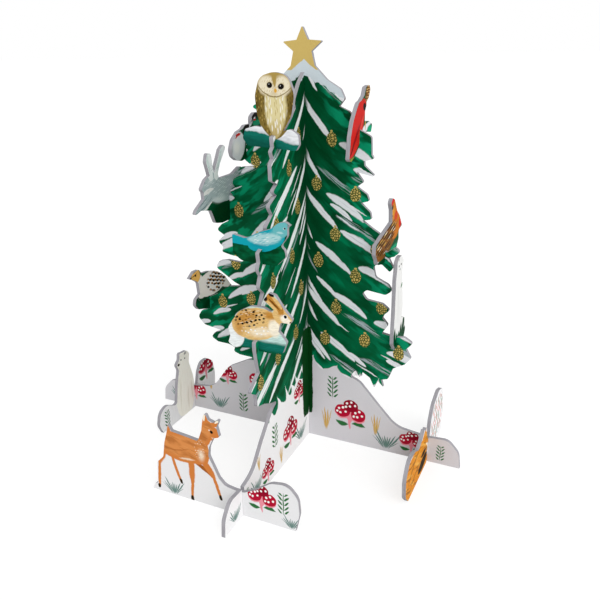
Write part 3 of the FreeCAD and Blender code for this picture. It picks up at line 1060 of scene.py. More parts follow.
    def paint_greens(self, art: Painting, side: Socket, bough: Socket) -> None:
        """Paints the fir's greens: dark by the trunk, bright at the boughs' tips.

        Args:
            art: The sheet's painting.
            side: How far the point is from the trunk.
            bough: The point measured along and across the drooping boughs.
        """
        reach = art.add("Math SUBTRACT", (self.top, art.v))[0]
        reach = art.add("Math MULTIPLY_ADD", (reach, self.flare, self.crown))[0]
        tip = art.rise(art.add("Math DIVIDE", (side, reach))[0], *self.tip_run)
        outer = art.rise(side, *self.bright_run, self.bright_share)
        art.colour = linear(Ink.FIR)
        art.wash(Ink.FIR_DEEP, art.noise(art.point, self.deep_size))
        dark = art.noise(bough, self.dark_size, *self.dark_range, self.dark_share)
        art.wash(Ink.FIR_DARK, dark)
        art.wash(Ink.FIR_DARK, art.rise(side, *self.dark_heart, self.dark_share))
        bright = (art.noise(bough, self.bright_size, *self.bright_range), outer)
        art.wash(Ink.FIR_BRIGHT, art.add("Math MULTIPLY", bright)[0])
        tips = (art.noise(bough, self.tip_size, *self.tip_range, self.bright_share), tip)
        art.wash(Ink.FIR_TIP, art.add("Math MULTIPLY", tips)[0])
        art.shade(art.noise(bough, self.streak_size), *self.streak_shade)

    def paint_star(self, art: Painting) -> None:
        """Paints the gold star that stands on the snow cap.

        Args:
            art: The sheet's painting.
        """
        away = art.add("Math SUBTRACT", (art.u, self.star_middle))[0]
        away = art.add("Math ABSOLUTE", (away,))[0]
        height = art.add("Math MULTIPLY_ADD", (away, self.star_slope, art.v))[0]
        soft = self.star_soft
        mask = art.rise(height, self.star_foot - soft, self.star_foot + soft)
        above = art.rise(art.v, self.star_low - soft, self.star_low + soft)
        mask = art.add("Math MULTIPLY", (mask, above))[0]
        art.wash(Ink.STAR_GOLD, mask)
        art.gold = art.add("Math MAXIMUM", (art.gold, mask))[0]


@dataclass(frozen=True)
class OwlBough(Sheet):
    """An owl with a pale face on a snowy bough."""

    body: Stroke = Stroke(Ink.OWL, (1.6, 326), (1.8, 274), 35, 0, 0.8, 0.05)
    chest: Stroke = Stroke(Ink.OWL_CHEST, (2.4, 322), (2.2, 274.5), 19.5, 0, 0.75, 0.25)
    face: Blot = Blot(Ink.OWL_LOBE, 1.7, 310, 13.5, 9, soft=0.3)
    layers: tuple[Layer, ...] = (
        Wash(Ink.SNOW),
        Band(Ink.SNOW_SHADE, 280, 276.5, 0.6, 0.227, 2),
        Band(Ink.TEAL, 277.5, 276.1, 1, 0.227, 2),
        Band(Ink.TEAL_DARK, 275.2, 268.2, 0.8, 0.227, 2),
        Grain((7, 1.6), 0.9, 1.08),
        Stroke(Ink.OWL, (1.6, 300), (1.6, 330), 31, 0, 0.05, 0.05),
        body,
        Blot(Ink.OWL_DARK, -12, 297, 4, 13, 6, 0.9, 0.75),
        Blot(Ink.OWL_DARK, 15, 297, 4, 13, -6, 0.9, 0.75),
        Field(Ink.OWL_DARK, (3.6, 1.9), 0.7, 0.5, 0.5, 0.9, 11, cover=0.8, turn=90, within=body),
        Field(Ink.OWL_HEAD, (3.2, 2), 0.6, 0.5, 0.5, 0.9, 13, cover=0.8, turn=90, within=body),
        chest,
        Band(Ink.OWL_HEAD, 292, 277, 0.7, within=chest),
        Field(Ink.OWL_HEAD, (5.6, 2), 0.8, 0.4, 0.6, 1, 14, cover=0.6, turn=90, within=chest),
        Field(Ink.WHITE, (5.8, 2.3), 0.85, 0.42, 0.75, 1, 12, cover=0.75, turn=90, within=chest),
        Blot(Ink.OWL_HEAD, 1.6, 314, 15.2, 11, soft=0.3),
        Blot(Ink.OWL_LOBE, -4.6, 311.6, 7.8, 8, 22, 0.4),
        Blot(Ink.OWL_LOBE, 7.9, 311.2, 7.8, 8, -22, 0.4),
        Blot(Ink.OWL_LOBE, 1.8, 306.4, 10, 4.4, soft=0.6, cover=0.6),
        Field(Ink.OWL_HEAD, (2.6, 1.5), 0.75, 0.4, 0.6, 0.9, 15, cover=0.55, turn=60, within=face),
        Stroke(Ink.OWL, (-12.4, 312.4), (15.8, 311.8), 1.5, -8.4, 0.12, 0.6, 0.8),
        Stroke(Ink.OWL_HEAD, (1.6, 322), (2.2, 309.5), 4.6, 0, 0.8, 0.5),
        Blot(Ink.OWL_HEAD, -2.2, 311.6, 3.4, 2.9, soft=0.9),
        Blot(Ink.OWL_HEAD, 6.9, 311, 3.4, 2.9, soft=0.9),
        Blot(Ink.BLACK, -2.1, 311.4, 2.6, 2.1, soft=0.25),
        Blot(Ink.BLACK, 6.8, 310.8, 2.6, 2.1, soft=0.25),
        Blot(Ink.WHITE, -2.6, 311.9, 0.4, 0.35, soft=0.5),
        Blot(Ink.WHITE, 6.3, 311.3, 0.4, 0.35, soft=0.5),
        Blot(Ink.AMBER, 2.6, 308, 1.4, 1.8, soft=0.4),
    )


@dataclass(frozen=True)
class BlueBirdBough(Sheet):
    """A small turquoise bird on a dark bough."""

    wing: Stroke = Stroke(Ink.TURQUOISE_PALE, (-11, 207), (18, 211), 11, -1, 0.6, 0.5)
    layers: tuple[Layer, ...] = (
        Wash(Ink.FIR),
        Mottle(Ink.FIR_DARK, (12, 6)),
        Band(Ink.FIR_DARK, 195, 188, 0.6),
        Stroke(Ink.TURQUOISE, (-28, 206.2), (8, 205), 9, 0.8, 0.12, 0.08),
        Blot(Ink.TURQUOISE, 5, 207.6, 16.5, 8.2, 20, 0.05),
        Blot(Ink.TURQUOISE_GREY, 17.2, 216.4, 7.4, 6.4, 30, 0.2),
        Blot(Ink.TURQUOISE_GREY, 12.5, 211, 8.5, 6.5, 35, 0.8),
        Blot(Ink.TURQUOISE_DARK, -1, 203.2, 10, 2.6, 4, 1, 0.6),
        replace(wing, cover=0.8),
        Field(Ink.TURQUOISE, (5.5, 1.5), 0.8, 0.4, 0.5, seed=21, cover=0.6, turn=20, within=wing),
        Field(Ink.WHITE, (4.4, 1.3), 0.7, 0.4, 0.4, seed=22, cover=0.8, turn=20, within=wing),
        Stroke(Ink.TURQUOISE_PALE, (13, 213.5), (20, 213.8), 2.4, 0.6, 0.7, 0.9, 0.8),
        Stroke(Ink.GREY, (21.5, 219.4), (26, 219.6), 2.4, 0, 0.8, 0.3),
        Blot(Ink.TURQUOISE_PALE, 19.8, 217.2, 1.6, 1.2, soft=0.6),
        Blot(Ink.BLACK, 20, 217.3, 1, 0.8, soft=0.3),
    )


@dataclass(frozen=True)
class BrownHareBough(Sheet):
    """A speckled brown hare crouched on a snowy bough."""

    back: Blot = Blot(Ink.HARE, -5, 150, 16, 8.5, 16, 0.3)
    flank: Blot = Blot(Ink.HARE, 0, 140.5, 16, 5, 10, 0.5)
    layers: tuple[Layer, ...] = (
        Wash(Ink.TEAL),
        Band(Ink.TEAL_PALE, 131.5, 135),
        Band(Ink.FIR_DEEP, 127.5, 124.5, 0.9),
        Grain((9, 1.6), 0.9, 1.06),
        Blot(Ink.SNOW_WHITE, -19, 134, 9, 10.5, 0, 0.1),
        Blot(Ink.HARE_LIGHT, 0, 146, 21.5, 13, 13, 0.05),
        Blot(Ink.HARE, -8, 150.5, 17, 8, 26, 0.8, 0.9),
        Blot(Ink.HARE, -14.5, 141, 6, 9, 0, 0.9, 0.8),
        Blot(Ink.CREAM, 4, 140, 15, 5.5, 10, 0.8, 0.8),
        Blot(Ink.CREAM, 15.5, 145, 6.5, 9, 0, 0.5),
        Blot(Ink.HARE, 12.5, 154.5, 8, 4.5, 0, 0.7),
        Blot(Ink.HARE_LIGHT, 22.5, 154.8, 9, 6.8, -25, 0.12),
        Blot(Ink.HARE, 20.5, 158, 6, 3, -25, 0.8),
        Blot(Ink.CREAM, 25, 152.4, 6.5, 4, -35, 0.4),
        Stroke(Ink.HARE, (23, 158), (6, 170.5), 8.5, -1, 0.35, 0.15),
        Stroke(Ink.HARE_LIGHT, (19, 157.5), (8, 167), 3, -0.5, 0.4, 0.3),
        Stroke(Ink.HARE_LIGHT, (22, 161), (13, 170.5), 3, -0.5, 0.4, 0.3),
        Stroke(Ink.HARE_DARK, (20.5, 159.5), (11, 168), 1.6, -0.3, 0.5, 0.5),
        Blot(Ink.BLACK, 8, 168.2, 3.4, 2.4, -42, 0.3),
        Blot(Ink.BLACK, 13.5, 170.8, 3, 1.6, -20, 0.3),
        Field(Ink.CREAM, (5, 1.5), 0.8, 0.45, 0.4, seed=34, cover=0.6, turn=20, within=back),
        Field(Ink.HARE_DARK, (3.1, 2.5), 0.6, 0.5, 0.6, 0.9, 33, cover=0.8, turn=20, within=back),
        Field(Ink.BLACK, (3.9, 3.1), 0.62, 0.6, 0.75, 0.9, 31, turn=20, within=back),
        Field(Ink.WHITE, (3.4, 3), 0.5, 0.5, 0.7, 0.9, 32, within=flank),
        Grain((6, 0.9), 0.9, 1.08, 20),
        Blot(Ink.WHITE, 24.6, 155.6, 2.4, 2, soft=0.4),
        Blot(Ink.BLACK, 24.8, 155.6, 1.5, 1.5, soft=0.3),
        Stroke(Ink.HARE_DARK, (27.5, 151), (29.5, 152.5), 1.2),
    )


@dataclass(frozen=True)
class GreyHareBough(Sheet):
    """A long-eared grey hare stretched along a dark bough."""

    fur: Band = Band(Ink.WINTER_HARE, 217, 221)
    layers: tuple[Layer, ...] = (
        Wash(Ink.FIR_DEEP),
        Blot(Ink.FIR_DARK, -14, 206, 22, 13, 0, 0.4),
        Stroke(Ink.SNOW, (14, 246), (36, 239), 8, 1, 0.4),
        Stroke(Ink.FIR, (12, 224), (36, 220), 14, 1, 0.4),
        Blot(Ink.WINTER_HARE_PALE, -20, 254, 18, 17, 0, 0.1),
        Blot(Ink.WINTER_HARE, -5, 228.5, 31, 13.5, 3, 0.05),
        Blot(Ink.WINTER_HARE, 8, 234, 16, 9, 0, 0.2),
        Blot(Ink.WINTER_HARE_PALE, -18, 219, 15, 4.5, -4, 0.9, 0.7),
        Blot(Ink.WINTER_HARE_DARK, -22, 233, 3, 8, -30, 1, 0.4),
        Blot(Ink.WINTER_HARE_DARK, 6, 222, 16, 4, 6, 1, 0.5),
        Blot(Ink.WINTER_HARE, -34, 233.5, 15, 9, 22, 0.1),
        Blot(Ink.WINTER_HARE_PALE, -30, 236.5, 9, 4.5, 24, 0.9, 0.3),
        Stroke(Ink.WINTER_HARE_PALE, (-27.5, 236), (-32, 261), 10, 1, 0.3, 0.15),
        Stroke(Ink.TEAL_PALE, (-29, 241), (-32, 259.5), 5.5, 1, 0.4, 0.8, 0.5),
        Stroke(Ink.WINTER_HARE_PALE, (-21.5, 236), (-8.5, 265), 10.5, -1, 0.3, 0.15),
        Stroke(Ink.TEAL_PALE, (-19, 242), (-9.5, 262), 6, -1, 0.4, 0.8, 0.5),
        Stroke(Ink.WINTER_HARE, (-28, 225), (-58, 212), 14, 0, 0.3, 0.15),
        Stroke(Ink.WHITE, (-25, 229), (-44, 226), 4.6, -1, 0.6),
        Stroke(Ink.WINTER_HARE_DARK, (-28, 222.5), (-52, 214), 1.3, 0.8),
        Stroke(Ink.WINTER_HARE_DARK, (-34, 225), (-54, 217), 1.1, 0.6),
        Stroke(Ink.WHITE, (-28, 219.5), (-46, 213.5), 2, 0.6),
        Field(
            Ink.WINTER_HARE_PALE, (6, 1.5), 0.8, share=0.5, seed=35, cover=0.7, turn=14, within=fur
        ),
        Field(
            Ink.WINTER_HARE_DARK, (5.4, 1.7), 0.7, 0.3, 0.3, seed=36, cover=0.4, turn=14, within=fur
        ),
        Blot(Ink.BLACK, -38.5, 236.4, 1.3, 1, 20, 0.4),
        Stroke(Ink.WINTER_HARE_DARK, (-47.5, 229.5), (-43, 231.6), 1.6),
    )


@dataclass(frozen=True)
class QuailBough(Sheet):
    """A pale quail with a spotted back on a dark bough."""

    back: Blot = Blot(Ink.QUAIL, 12, 134, 18.5, 11, -6, 0.2)
    layers: tuple[Layer, ...] = (
        Wash(Ink.FIR),
        Mottle(Ink.FIR_DARK, (13, 6)),
        Stroke(Ink.FIR_BRIGHT, (12, 118), (40, 112), 7, 1, 0.5, 0.8),
        Blot(Ink.QUAIL, 5, 134.5, 27, 12.5, -2, 0.05),
        Blot(Ink.QUAIL, -17, 138, 9, 11, 0, 0.2),
        Blot(Ink.QUAIL, -13, 131.5, 8, 7.5, 0, 0.15),
        Stroke(Ink.QUAIL, (18, 133), (38, 123), 13, 0, 0.6, 0.2),
        Stroke(Ink.GREY, (-26, 140), (-16, 122), 2, -1.5, 0.6, 0.9, 0.5),
        Blot(Ink.QUAIL_HEAD, -21, 147.5, 7.5, 6.5, 0, 0.15),
        Stroke(Ink.GREY, (-31, 150.5), (-17, 153.5), 3.4, 1, 0.4),
        Stroke(Ink.QUAIL_SPOT, (-34, 147), (-27, 148.5), 3.6, 0, 0.6),
        Stroke(Ink.QUAIL_SPOT, (-27, 148.3), (-19, 150.6), 1, 0, 0.6),
        Field(Ink.WHITE, (6.4, 3.3), 0.85, 0.85, 0.9, 0.2, 44, turn=-20, within=back),
        Field(Ink.QUAIL_BROWN, (6.4, 3.3), 0.72, 0.8, 0.95, 0.4, 41, turn=-20, within=back),
        Field(Ink.QUAIL_SPOT, (6.4, 3.3), 0.7, 0.8, 0.6, 0.4, 42, turn=-20, within=back),
        Blot(Ink.BLACK, -21.5, 149, 1.3, 1.2, soft=0.3),
    )


@dataclass(frozen=True)
class WoodpeckerBough(Sheet):
    """Two black, white and red woodpeckers on a snowy bough."""

    layers: tuple[Layer, ...] = (
        Wash(Ink.FIR_DEEP),
        Stroke(Ink.FIR_DARK, (-16, 253), (30, 262), 9, 0, 0.4, 0.8),
        Stroke(Ink.FIR_TIP, (-18, 255), (-2, 266), 5, 0, 0.5, 0.7),
        Stroke(Ink.SNOW, (-2, 262), (30, 268), 6, 1, 0.5),
        Stroke(Ink.SNOW, (4, 276), (12, 282.5), 5, 0, 0.5),
        Blot(Ink.FIR_TIP, 18, 278, 8, 2.8, 0, 0.4),
        Blot(Ink.SNOW, -15.5, 262.5, 13.5, 11.5, 30, 0.1),
        Blot(Ink.GREY, -24.5, 260, 2.4, 8.5, -20, 0.9, 0.5),
        Blot(Ink.WHITE, -17, 262, 8, 8, 30, 0.8),
        Stroke(Ink.BLACK, (-6, 270.5), (2.5, 262.5), 4, 2, 0.5),
        Stroke(Ink.WHITE, (-4.5, 269), (0.5, 264), 0.9, 0.8, 0.3),
        Stroke(Ink.RED, (-19, 272), (-9.5, 272.2), 2.8, -0.8, 0.5),
        Stroke(Ink.RED, (-18.5, 269), (-12, 273), 2, 0, 0.5),
        Blot(Ink.BLACK, 0.4, 276.2, 5.6, 2.8, 18, 0.2),
        Stroke(Ink.BLACK, (-6, 270.8), (-3, 276.5), 2.6, 0, 0.5),
        Blot(Ink.BLACK, 0.6, 272.4, 2, 1.5, soft=0.3),
        Blot(Ink.BLACK, 15, 284.2, 6, 3.2, 14, 0.2),
        Stroke(Ink.BLACK, (9.5, 279), (12, 284.5), 2.6, 0, 0.5),
        Blot(Ink.WHITE, 14.6, 282.2, 2, 1, 20, 0.4),
        Stroke(Ink.RED, (12.5, 280.6), (17, 280.9), 1.6),
    )


@dataclass(frozen=True)
class RedBirdBough(Sheet):
    """A slim red bird climbing beside a cone on a twig."""

    cone: Blot = Blot(Ink.RUST, 16.5, 302.3, 6, 8.6, -25, 0.2)
    plumage: Stroke = Stroke(Ink.RED, (-18, 264), (6, 290), 11, -2.5, 0.6, 0.4)
    layers: tuple[Layer, ...] = (
        Wash(Ink.FIR_DEEP),
        Stroke(Ink.FIR_DARK, (-16, 262), (28, 276), 12, 2, 0.4, 0.8),
        Stroke(Ink.SNOW, (-14, 267), (26, 281), 7, 1, 0.5),
        Blot(Ink.FIR_TIP, 22, 275.5, 7.5, 3.6, 0, 0.4),
        Stroke(Ink.OLIVE, (-27, 254.5), (-6, 257.5), 6, 0, 0.4),
        Stroke(Ink.TEAL, (-24, 258.5), (-14, 261), 3, 0, 0.6),
        Stroke(Ink.RED, (-24, 268), (3, 300), 14, -2.5, 0.7, 0.12),
        Stroke(Ink.RED, (-23, 258.3), (9, 296.3), 17, -2.5, 0.7, 0.12),
        Stroke(Ink.BLACK, (-23, 258), (-8, 274), 3.4, 0, 0.5, 0.8, 0.8),
        Stroke(Ink.RED_DARK, (-16, 264), (2, 284), 4.5, 0.5, 0.6, 0.8),
        Stroke(Ink.RED_LIGHT, (-4, 272.3), (8, 290.3), 4, -1, 0.6, 0.9, 0.8),
        Blot(Ink.RED, 7, 292.8, 6, 7, 0, 0.2),
        Blot(Ink.BLACK, 8.8, 293.3, 3.8, 3.2, -20, 0.3),
        Stroke(Ink.OCHRE, (12, 275.3), (11, 285.3), 2.2, 0.5, 0.5),
        Blot(Ink.HARE_DARK, 16.5, 302.3, 5.8, 8.4, -25, 0.08),
        Field(Ink.HARE_LIGHT, (4.4, 2.1), 0.8, 0.5, 0.95, seed=51, bend=0.6, within=cone),
        Field(Ink.RED_DARK, (7, 2), 0.8, 0.35, 0.5, seed=52, cover=0.6, turn=48, within=plumage),
    )


@dataclass(frozen=True)
class OrangeBirdBough(Sheet):
    """An orange bird with barred brown wings on a green bough."""

    wing: Blot = Blot(Ink.RUST, 1, 194.7, 28, 11.5, 13, 0.2)
    layers: tuple[Layer, ...] = (
        Wash(Ink.FIR_DEEP),
        Stroke(Ink.FIR_DARK, (-22, 178), (6, 177), 10, 0, 0.4, 0.8),
        Stroke(Ink.FIR_TIP, (2, 178.5), (34, 182.5), 8, 0, 0.5, 0.8),
        Stroke(Ink.SNOW, (-24, 180.5), (-3, 182), 4, 1, 0.5),
        Blot(Ink.RUST, 2, 192.5, 30, 11.5, 12, 0.05),
        Blot(Ink.ORANGE, 24, 206.5, 19, 18.5, 0, 0.1),
        Blot(Ink.ORANGE_LIGHT, 16, 211.5, 8.5, 8.5, 0, 0.8),
        Stroke(Ink.RUST_DARK, (10, 206), (18, 209), 3, 1, 0.6, 0.8, 0.7),
        Blot(Ink.OLIVE, 16, 200.5, 12, 5, 14, 0.9, 0.7),
        Blot(Ink.RUST, 2, 195.5, 24, 9.5, 14, 0.25),
        Stroke(Ink.RED, (8, 218.5), (21, 224.5), 7, 0, 0.4),
        Blot(Ink.RED, 25, 207.2, 6.5, 5.5, 0, 0.6, 0.75),
        Stroke(Ink.RUST_DARK, (17, 201), (33, 203), 1.6, -1.5, 0.5, 0.8, 0.7),
        Blot(Ink.RED, 38, 199.2, 5.5, 6, 0, 0.5),
        Field(Ink.OCHRE, (10, 3.4), 0.85, 0.35, 0.6, seed=63, turn=13, within=wing),
        Field(Ink.RUST_DARK, (16, 2.9), 0.95, 0.75, 0.95, seed=61, turn=13, within=wing),
        Field(Ink.CREAM, (12, 3.4), 0.7, 0.22, 0.5, seed=62, turn=13, within=wing),
        Blot(Ink.BLACK, 15, 216.2, 2, 2.3, soft=0.3),
        Stroke(Ink.RUST_DARK, (9, 215.2), (13, 216.2), 1.4),
    )


@dataclass(frozen=True)
class ErmineBough(Sheet):
    """A white ermine standing upright among dark green needles."""

    needles: Band = Band(Ink.FIR_BRIGHT, 116, 108)
    layers: tuple[Layer, ...] = (
        Stroke(Ink.ERMINE_SHADE, (2, 118.5), (-1, 160.5), 4, 1, 0.5, 0.9, 0.7),
        Stroke(Ink.ERMINE_SHADE, (8, 120.5), (4, 150.5), 2.4, 1, 0.5, 0.9, 0.6),
        Blot(Ink.BLACK, -1.6, 173.3, 1.2, 1.2, soft=0.3),
        Blot(Ink.BLACK, 3.6, 173.7, 1.2, 1.2, soft=0.3),
        Blot(Ink.GREY, 0.8, 170.1, 1.4, 1, soft=0.4),
        Stroke(Ink.GREY, (-3.4, 178), (-1, 180), 1.6),
        Stroke(Ink.SPRIG, (4, 153), (11.5, 157.5), 3, 0, 0.9),
        Stroke(Ink.FIR_DARK, (-12, 105.5), (26, 107.5), 17, 0, 0.15),
        Stroke(Ink.FIR_DARK, (-8, 104.5), (-7, 123.5), 7, 0, 1),
        Stroke(Ink.FIR, (-1, 104.5), (-3, 117.5), 5, 0, 1),
        Stroke(Ink.FIR_DARK, (8, 104.5), (11, 121.5), 7, 0, 1),
        Stroke(Ink.FIR_DARK, (14, 104.5), (19, 126.5), 8, 0, 1),
        Stroke(Ink.FIR, (3, 104.5), (4, 116.5), 4, 0, 1),
        Field(
            Ink.FIR_BRIGHT, (11, 3.6), 0.85, share=0.6, seed=71, cover=0.8, turn=70, within=needles
        ),
    )


@dataclass(frozen=True)
class RearBough(Sheet):
    """A plain fir bough with snow along its top."""

    snow_depth: float = 5
    snow_soft: float = 0.4
    slope: float = 0.12
    drift: float = 3
    drift_size: Pair = (8, 8)

    def paint(self, art: Painting) -> None:
        """Paints the greens, then the snow.

        Args:
            art: The sheet's painting.
        """
        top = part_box(self.node)[1][2] * MILLIMETRES
        Wash(Ink.FIR).paint(art)
        Mottle(Ink.FIR_BRIGHT, (12, 7)).paint(art)
        side = art.add("Math ABSOLUTE", (art.u,))[0]
        level = art.add("Math MULTIPLY_ADD", (side, self.slope, art.v))[0]
        bough = art.add("CombineXYZ", (art.u, level))[0]
        Field(Ink.FIR_DARK, (16, 4.5), 0.85, 0.5, 0.6, seed=81, cover=0.8).paint(art, bough)
        Field(Ink.FIR_TIP, (14, 4), 0.85, 0.5, 0.6, seed=82, cover=0.8).paint(art, bough)
        drift = (art.noise(art.point, self.drift_size), self.drift, level)
        level = art.add("Math MULTIPLY_ADD", drift)[0]
        foot = top - self.snow_depth
        art.wash(Ink.SNOW, art.rise(level, foot - self.snow_soft, foot + self.snow_soft))
        Field(Ink.SNOW, (18, 6.5), 0.85, 0.3, 0.5, seed=83).paint(art, bough)


@dataclass(frozen=True)
class DeerFoot(Sheet):
    """The near foot: a walking deer at one end and a snowy hump at the other."""

    body: Joined = Joined(
        Ink.DEER,
        (
            Stroke(Ink.DEER, (-72, 49.5), (-26, 50.5), 24, -2, 0.2, 0.4),
            Stroke(Ink.DEER, (-36, 54), (-22, 76), 13, 0, 0.3, 0.5),
        ),
    )
    neck: Blot = Blot(Ink.CREAM, -34, 50, 7, 12, -10, 0.8)
    plants: tuple[Layer, ...] = (
        Berries((Spot(18.5, 20.5, 12.5),)),
        Sprigs((Spot(36.5, 22, 10.5),)),
        Fan(Tuft.REED, (Spot(-62, 9, 10), Spot(43, 8, 8))),
    )
    layers: tuple[Layer, ...] = (
        Stroke(Ink.DEER_DARK, (-41, 38), (-22, 27), 5, 1, 0.4),
        Stroke(Ink.DEER, (-61, 40), (-54, 14), 3.6, -0.6, 0.2),
        Stroke(Ink.DEER, (-67, 46), (-74.5, 26), 8, 0, 0.5),
        Stroke(Ink.DEER, (-73.5, 30), (-76.5, 4), 3.4, 0, 0.15),
        Stroke(Ink.DEER, (-43, 46), (-43, 16), 7, 0, 0.4),
        Stroke(Ink.DEER, (-43, 28), (-44.5, 0.5), 3.4, 0, 0.15),
        Stroke(Ink.DEER, (-35, 46), (-21.5, 26), 7.5, 0, 0.4),
        Stroke(Ink.DEER, (-23.5, 30), (-17.5, 9), 3.4, 0, 0.15),
        Stroke(Ink.DEER, (-71, 49), (-26, 50), 27, -2, 0.15, 0.08),
        Stroke(Ink.DEER, (-66, 54), (-62, 68), 9, 0, 0.5, 0.2),
        Stroke(Ink.DEER, (-37, 52), (-24, 78), 18, 0, 0.3, 0.1),
        Stroke(Ink.DEER, (-28, 72), (-11.5, 62), 13, 0, 0.45, 0.1),
        Stroke(Ink.DEER, (-29, 74), (-27, 86), 7, 0, 0.6, 0.1),
        Stroke(Ink.DEER, (-22, 74), (-10, 83), 7, 0, 0.6, 0.1),
        Joined(Ink.DEER_LIGHT, body.marks, 0.45),
        Mottle(Ink.DEER_DARK, (17, 7), 0.42, 0.7, 0.6, -12, within=body),
        Field(
            Ink.DEER_DARK, (13, 2.8), 0.85, 0.45, 0.4, 1, 92, 0.8, 0.4, 0.8, 0.45, -12, within=body
        ),
        Field(
            Ink.DEER_LIGHT, (13, 2.8), 0.85, 0.45, 0.6, 1, 93, 0.8, 0.4, 0.8, 0.45, -12, within=body
        ),
        Stroke(Ink.DEER_DARK, (-66, 44.5), (-42, 49), 2.2, -2.4, 0.6, 1, 0.6),
        Stroke(Ink.CREAM, (-55, 37.5), (-38, 38.5), 3, 0, 0.6, 0.9, 0.7),
        Blot(Ink.CREAM, -33, 45, 4.4, 8, 0, 1, 0.75),
        Stroke(Ink.CREAM, (-28.2, 76.5), (-27.2, 84), 2.4, 0, 0.6),
        Stroke(Ink.CREAM, (-19, 76.8), (-13, 81.5), 2.2, 0, 0.6),
        Stroke(Ink.CREAM, (-23, 64), (-16, 61.6), 2.2, 0, 0.6, 0.9, 0.7),
        Blot(Ink.BLACK, -13.6, 62.8, 1.6, 1.4, soft=0.4),
        Blot(Ink.BLACK, -21.8, 68.6, 1.6, 1.4, -20, 0.3),
        Blot(Ink.WHITE, -23.6, 69.8, 0.7, 0.6, soft=0.4),
        Stroke(Ink.FOX_DARK, (-77, 6.5), (-76.5, 2.6), 3.6, 0, 0.3),
        Stroke(Ink.FOX_DARK, (-54.9, 17.5), (-53.4, 12.8), 3.2, 0, 0.3),
        Stroke(Ink.FOX_DARK, (-44.5, 4.4), (-44.5, -1), 3.8, 0, 0.2),
        Stroke(Ink.FOX_DARK, (-18.5, 12.5), (-17.2, 7.8), 3.4, 0, 0.3),
        Field(Ink.CREAM, (2.4, 2), 0.5, 0.45, 0.5, 0.9, 94, within=neck),
    )


@dataclass(frozen=True)
class BearFoot(Sheet):
    """The left foot: a standing white bear between snowy humps."""

    plants: tuple[Layer, ...] = (
        Berries((Spot(22, 34, 15),)),
        Sprigs((Spot(-48, 12, 9), Spot(-40, 36, 8))),
        Fan(Tuft.REED, (Spot(8, 12, 9),)),
    )
    layers: tuple[Layer, ...] = (
        Stroke(Ink.BEAR, (-17, 0), (-17, 70), 33, 0, 0.22, 0.06),
        Blot(Ink.BEAR, -17.5, 60, 14, 13, 0, 0.06),
        Stroke(Ink.BEAR_SHADE, (-25, 4), (-21, 46), 4, 1, 0.5, 1, 0.6),
        Stroke(Ink.BEAR_SHADE, (-12, 2), (-11, 30), 5, 1, 0.5, 1, 0.6),
        Stroke(Ink.BEAR_SHADE, (-4, 4), (-5, 34), 4, 1, 0.5, 1, 0.8),
        Blot(Ink.GREY, -24.6, 65.8, 3, 2.4, 0, 0.5, 0.8),
        Blot(Ink.GREY, -11.6, 63.8, 2.6, 2, 0, 0.5, 0.8),
        Blot(Ink.BLACK, -23.4, 56.4, 2.3, 1.7, 0, 0.4),
        Blot(Ink.BLACK, -19, 59.8, 1, 1, soft=0.4),
        Blot(Ink.BLACK, -13, 58.8, 1, 1, soft=0.4),
        Grain((9, 1.4), 0.97, 1.02, 88),
    )


@dataclass(frozen=True)
class FoxFoot(Sheet):
    """The right foot: a curled sleeping fox and a snowy hump with strewn seeds."""

    fox: Joined = Joined(
        Ink.FOX,
        (
            Blot(Ink.FOX, -42, 17, 40, 20.5, -4, 0.05),
            Blot(Ink.FOX, -14, 26, 11.5, 10, -50, 0.1),
        ),
    )
    patch: Blot = Blot(Ink.CARD, 29, 27, 22, 22, soft=0.1)
    plants: tuple[Layer, ...] = (
        Field(Ink.CORAL, (8, 4.2), 0.7, 0.45, 0.8, 0.9, 98, soft=0.2, turn=84, within=patch),
        Field(Ink.SPRIG, (9, 4.2), 0.7, 0.45, 0.8, 0.9, 99, soft=0.2, turn=84, within=patch),
        Fan(Tuft.REED, (Spot(10, 10, 9),)),
    )
    layers: tuple[Layer, ...] = (
        fox,
        Stroke(Ink.FOX, (-20, 32), (-10, 38.5), 7, 0, 0.7, 0.2),
        Stroke(Ink.FOX, (-12, 26), (0, 18), 10, 0, 0.8, 0.2),
        Stroke(Ink.FOX, (-34, 8), (0, 4), 14, 0, 0.4, 0.1),
        Mottle(Ink.FOX_LIGHT, (30, 4), 0.5, 0.72, 0.75, -30, within=fox),
        Mottle(Ink.RUST, (24, 2.6), 0.5, 0.72, 0.75, -20, within=fox),
        Field(
            Ink.RUST, (3.4, 2.2), 0.55, 0.5, 0.7, 0.9, 97, soft=0.6, cover=0.55,
            within=Band(Ink.RUST, 15, 8, within=fox),
        ),
        Stroke(Ink.RUST, (-66, 10), (-24, 30), 3.4, 6, 0.5, 0.8, 0.9),
        Stroke(Ink.RUST, (-58, 4), (-30, 14), 2.6, 3, 0.5, 0.8, 0.9),
        Stroke(Ink.FOX_DARK, (-32, 7), (-3, 10), 13, 0, 0.5, 0.3),
        Stroke(Ink.FOX_DARK, (-24, 18), (-8, 17), 6, 0, 0.6, 0.4),
        Stroke(Ink.CREAM, (-9, 22), (0.5, 17), 4, 0, 0.7, 0.7),
        Stroke(Ink.FOX_DARK, (-15, 26.5), (-10.5, 25.5), 1.3, -1),
        Blot(Ink.BLACK, 0, 17.8, 1.6, 1.4, soft=0.4),
    )


@dataclass(frozen=True)
class RearFoot(Sheet):
    """The rear foot: a snowy hump with small plants."""

    plants: tuple[Layer, ...] = (
        Berries((Spot(-56, 18, 12),)),
        Sprigs((Spot(-36, 17, 10),)),
        Fan(Tuft.REED, (Spot(-17, 10, 9), Spot(-70, 8, 7))),
    )


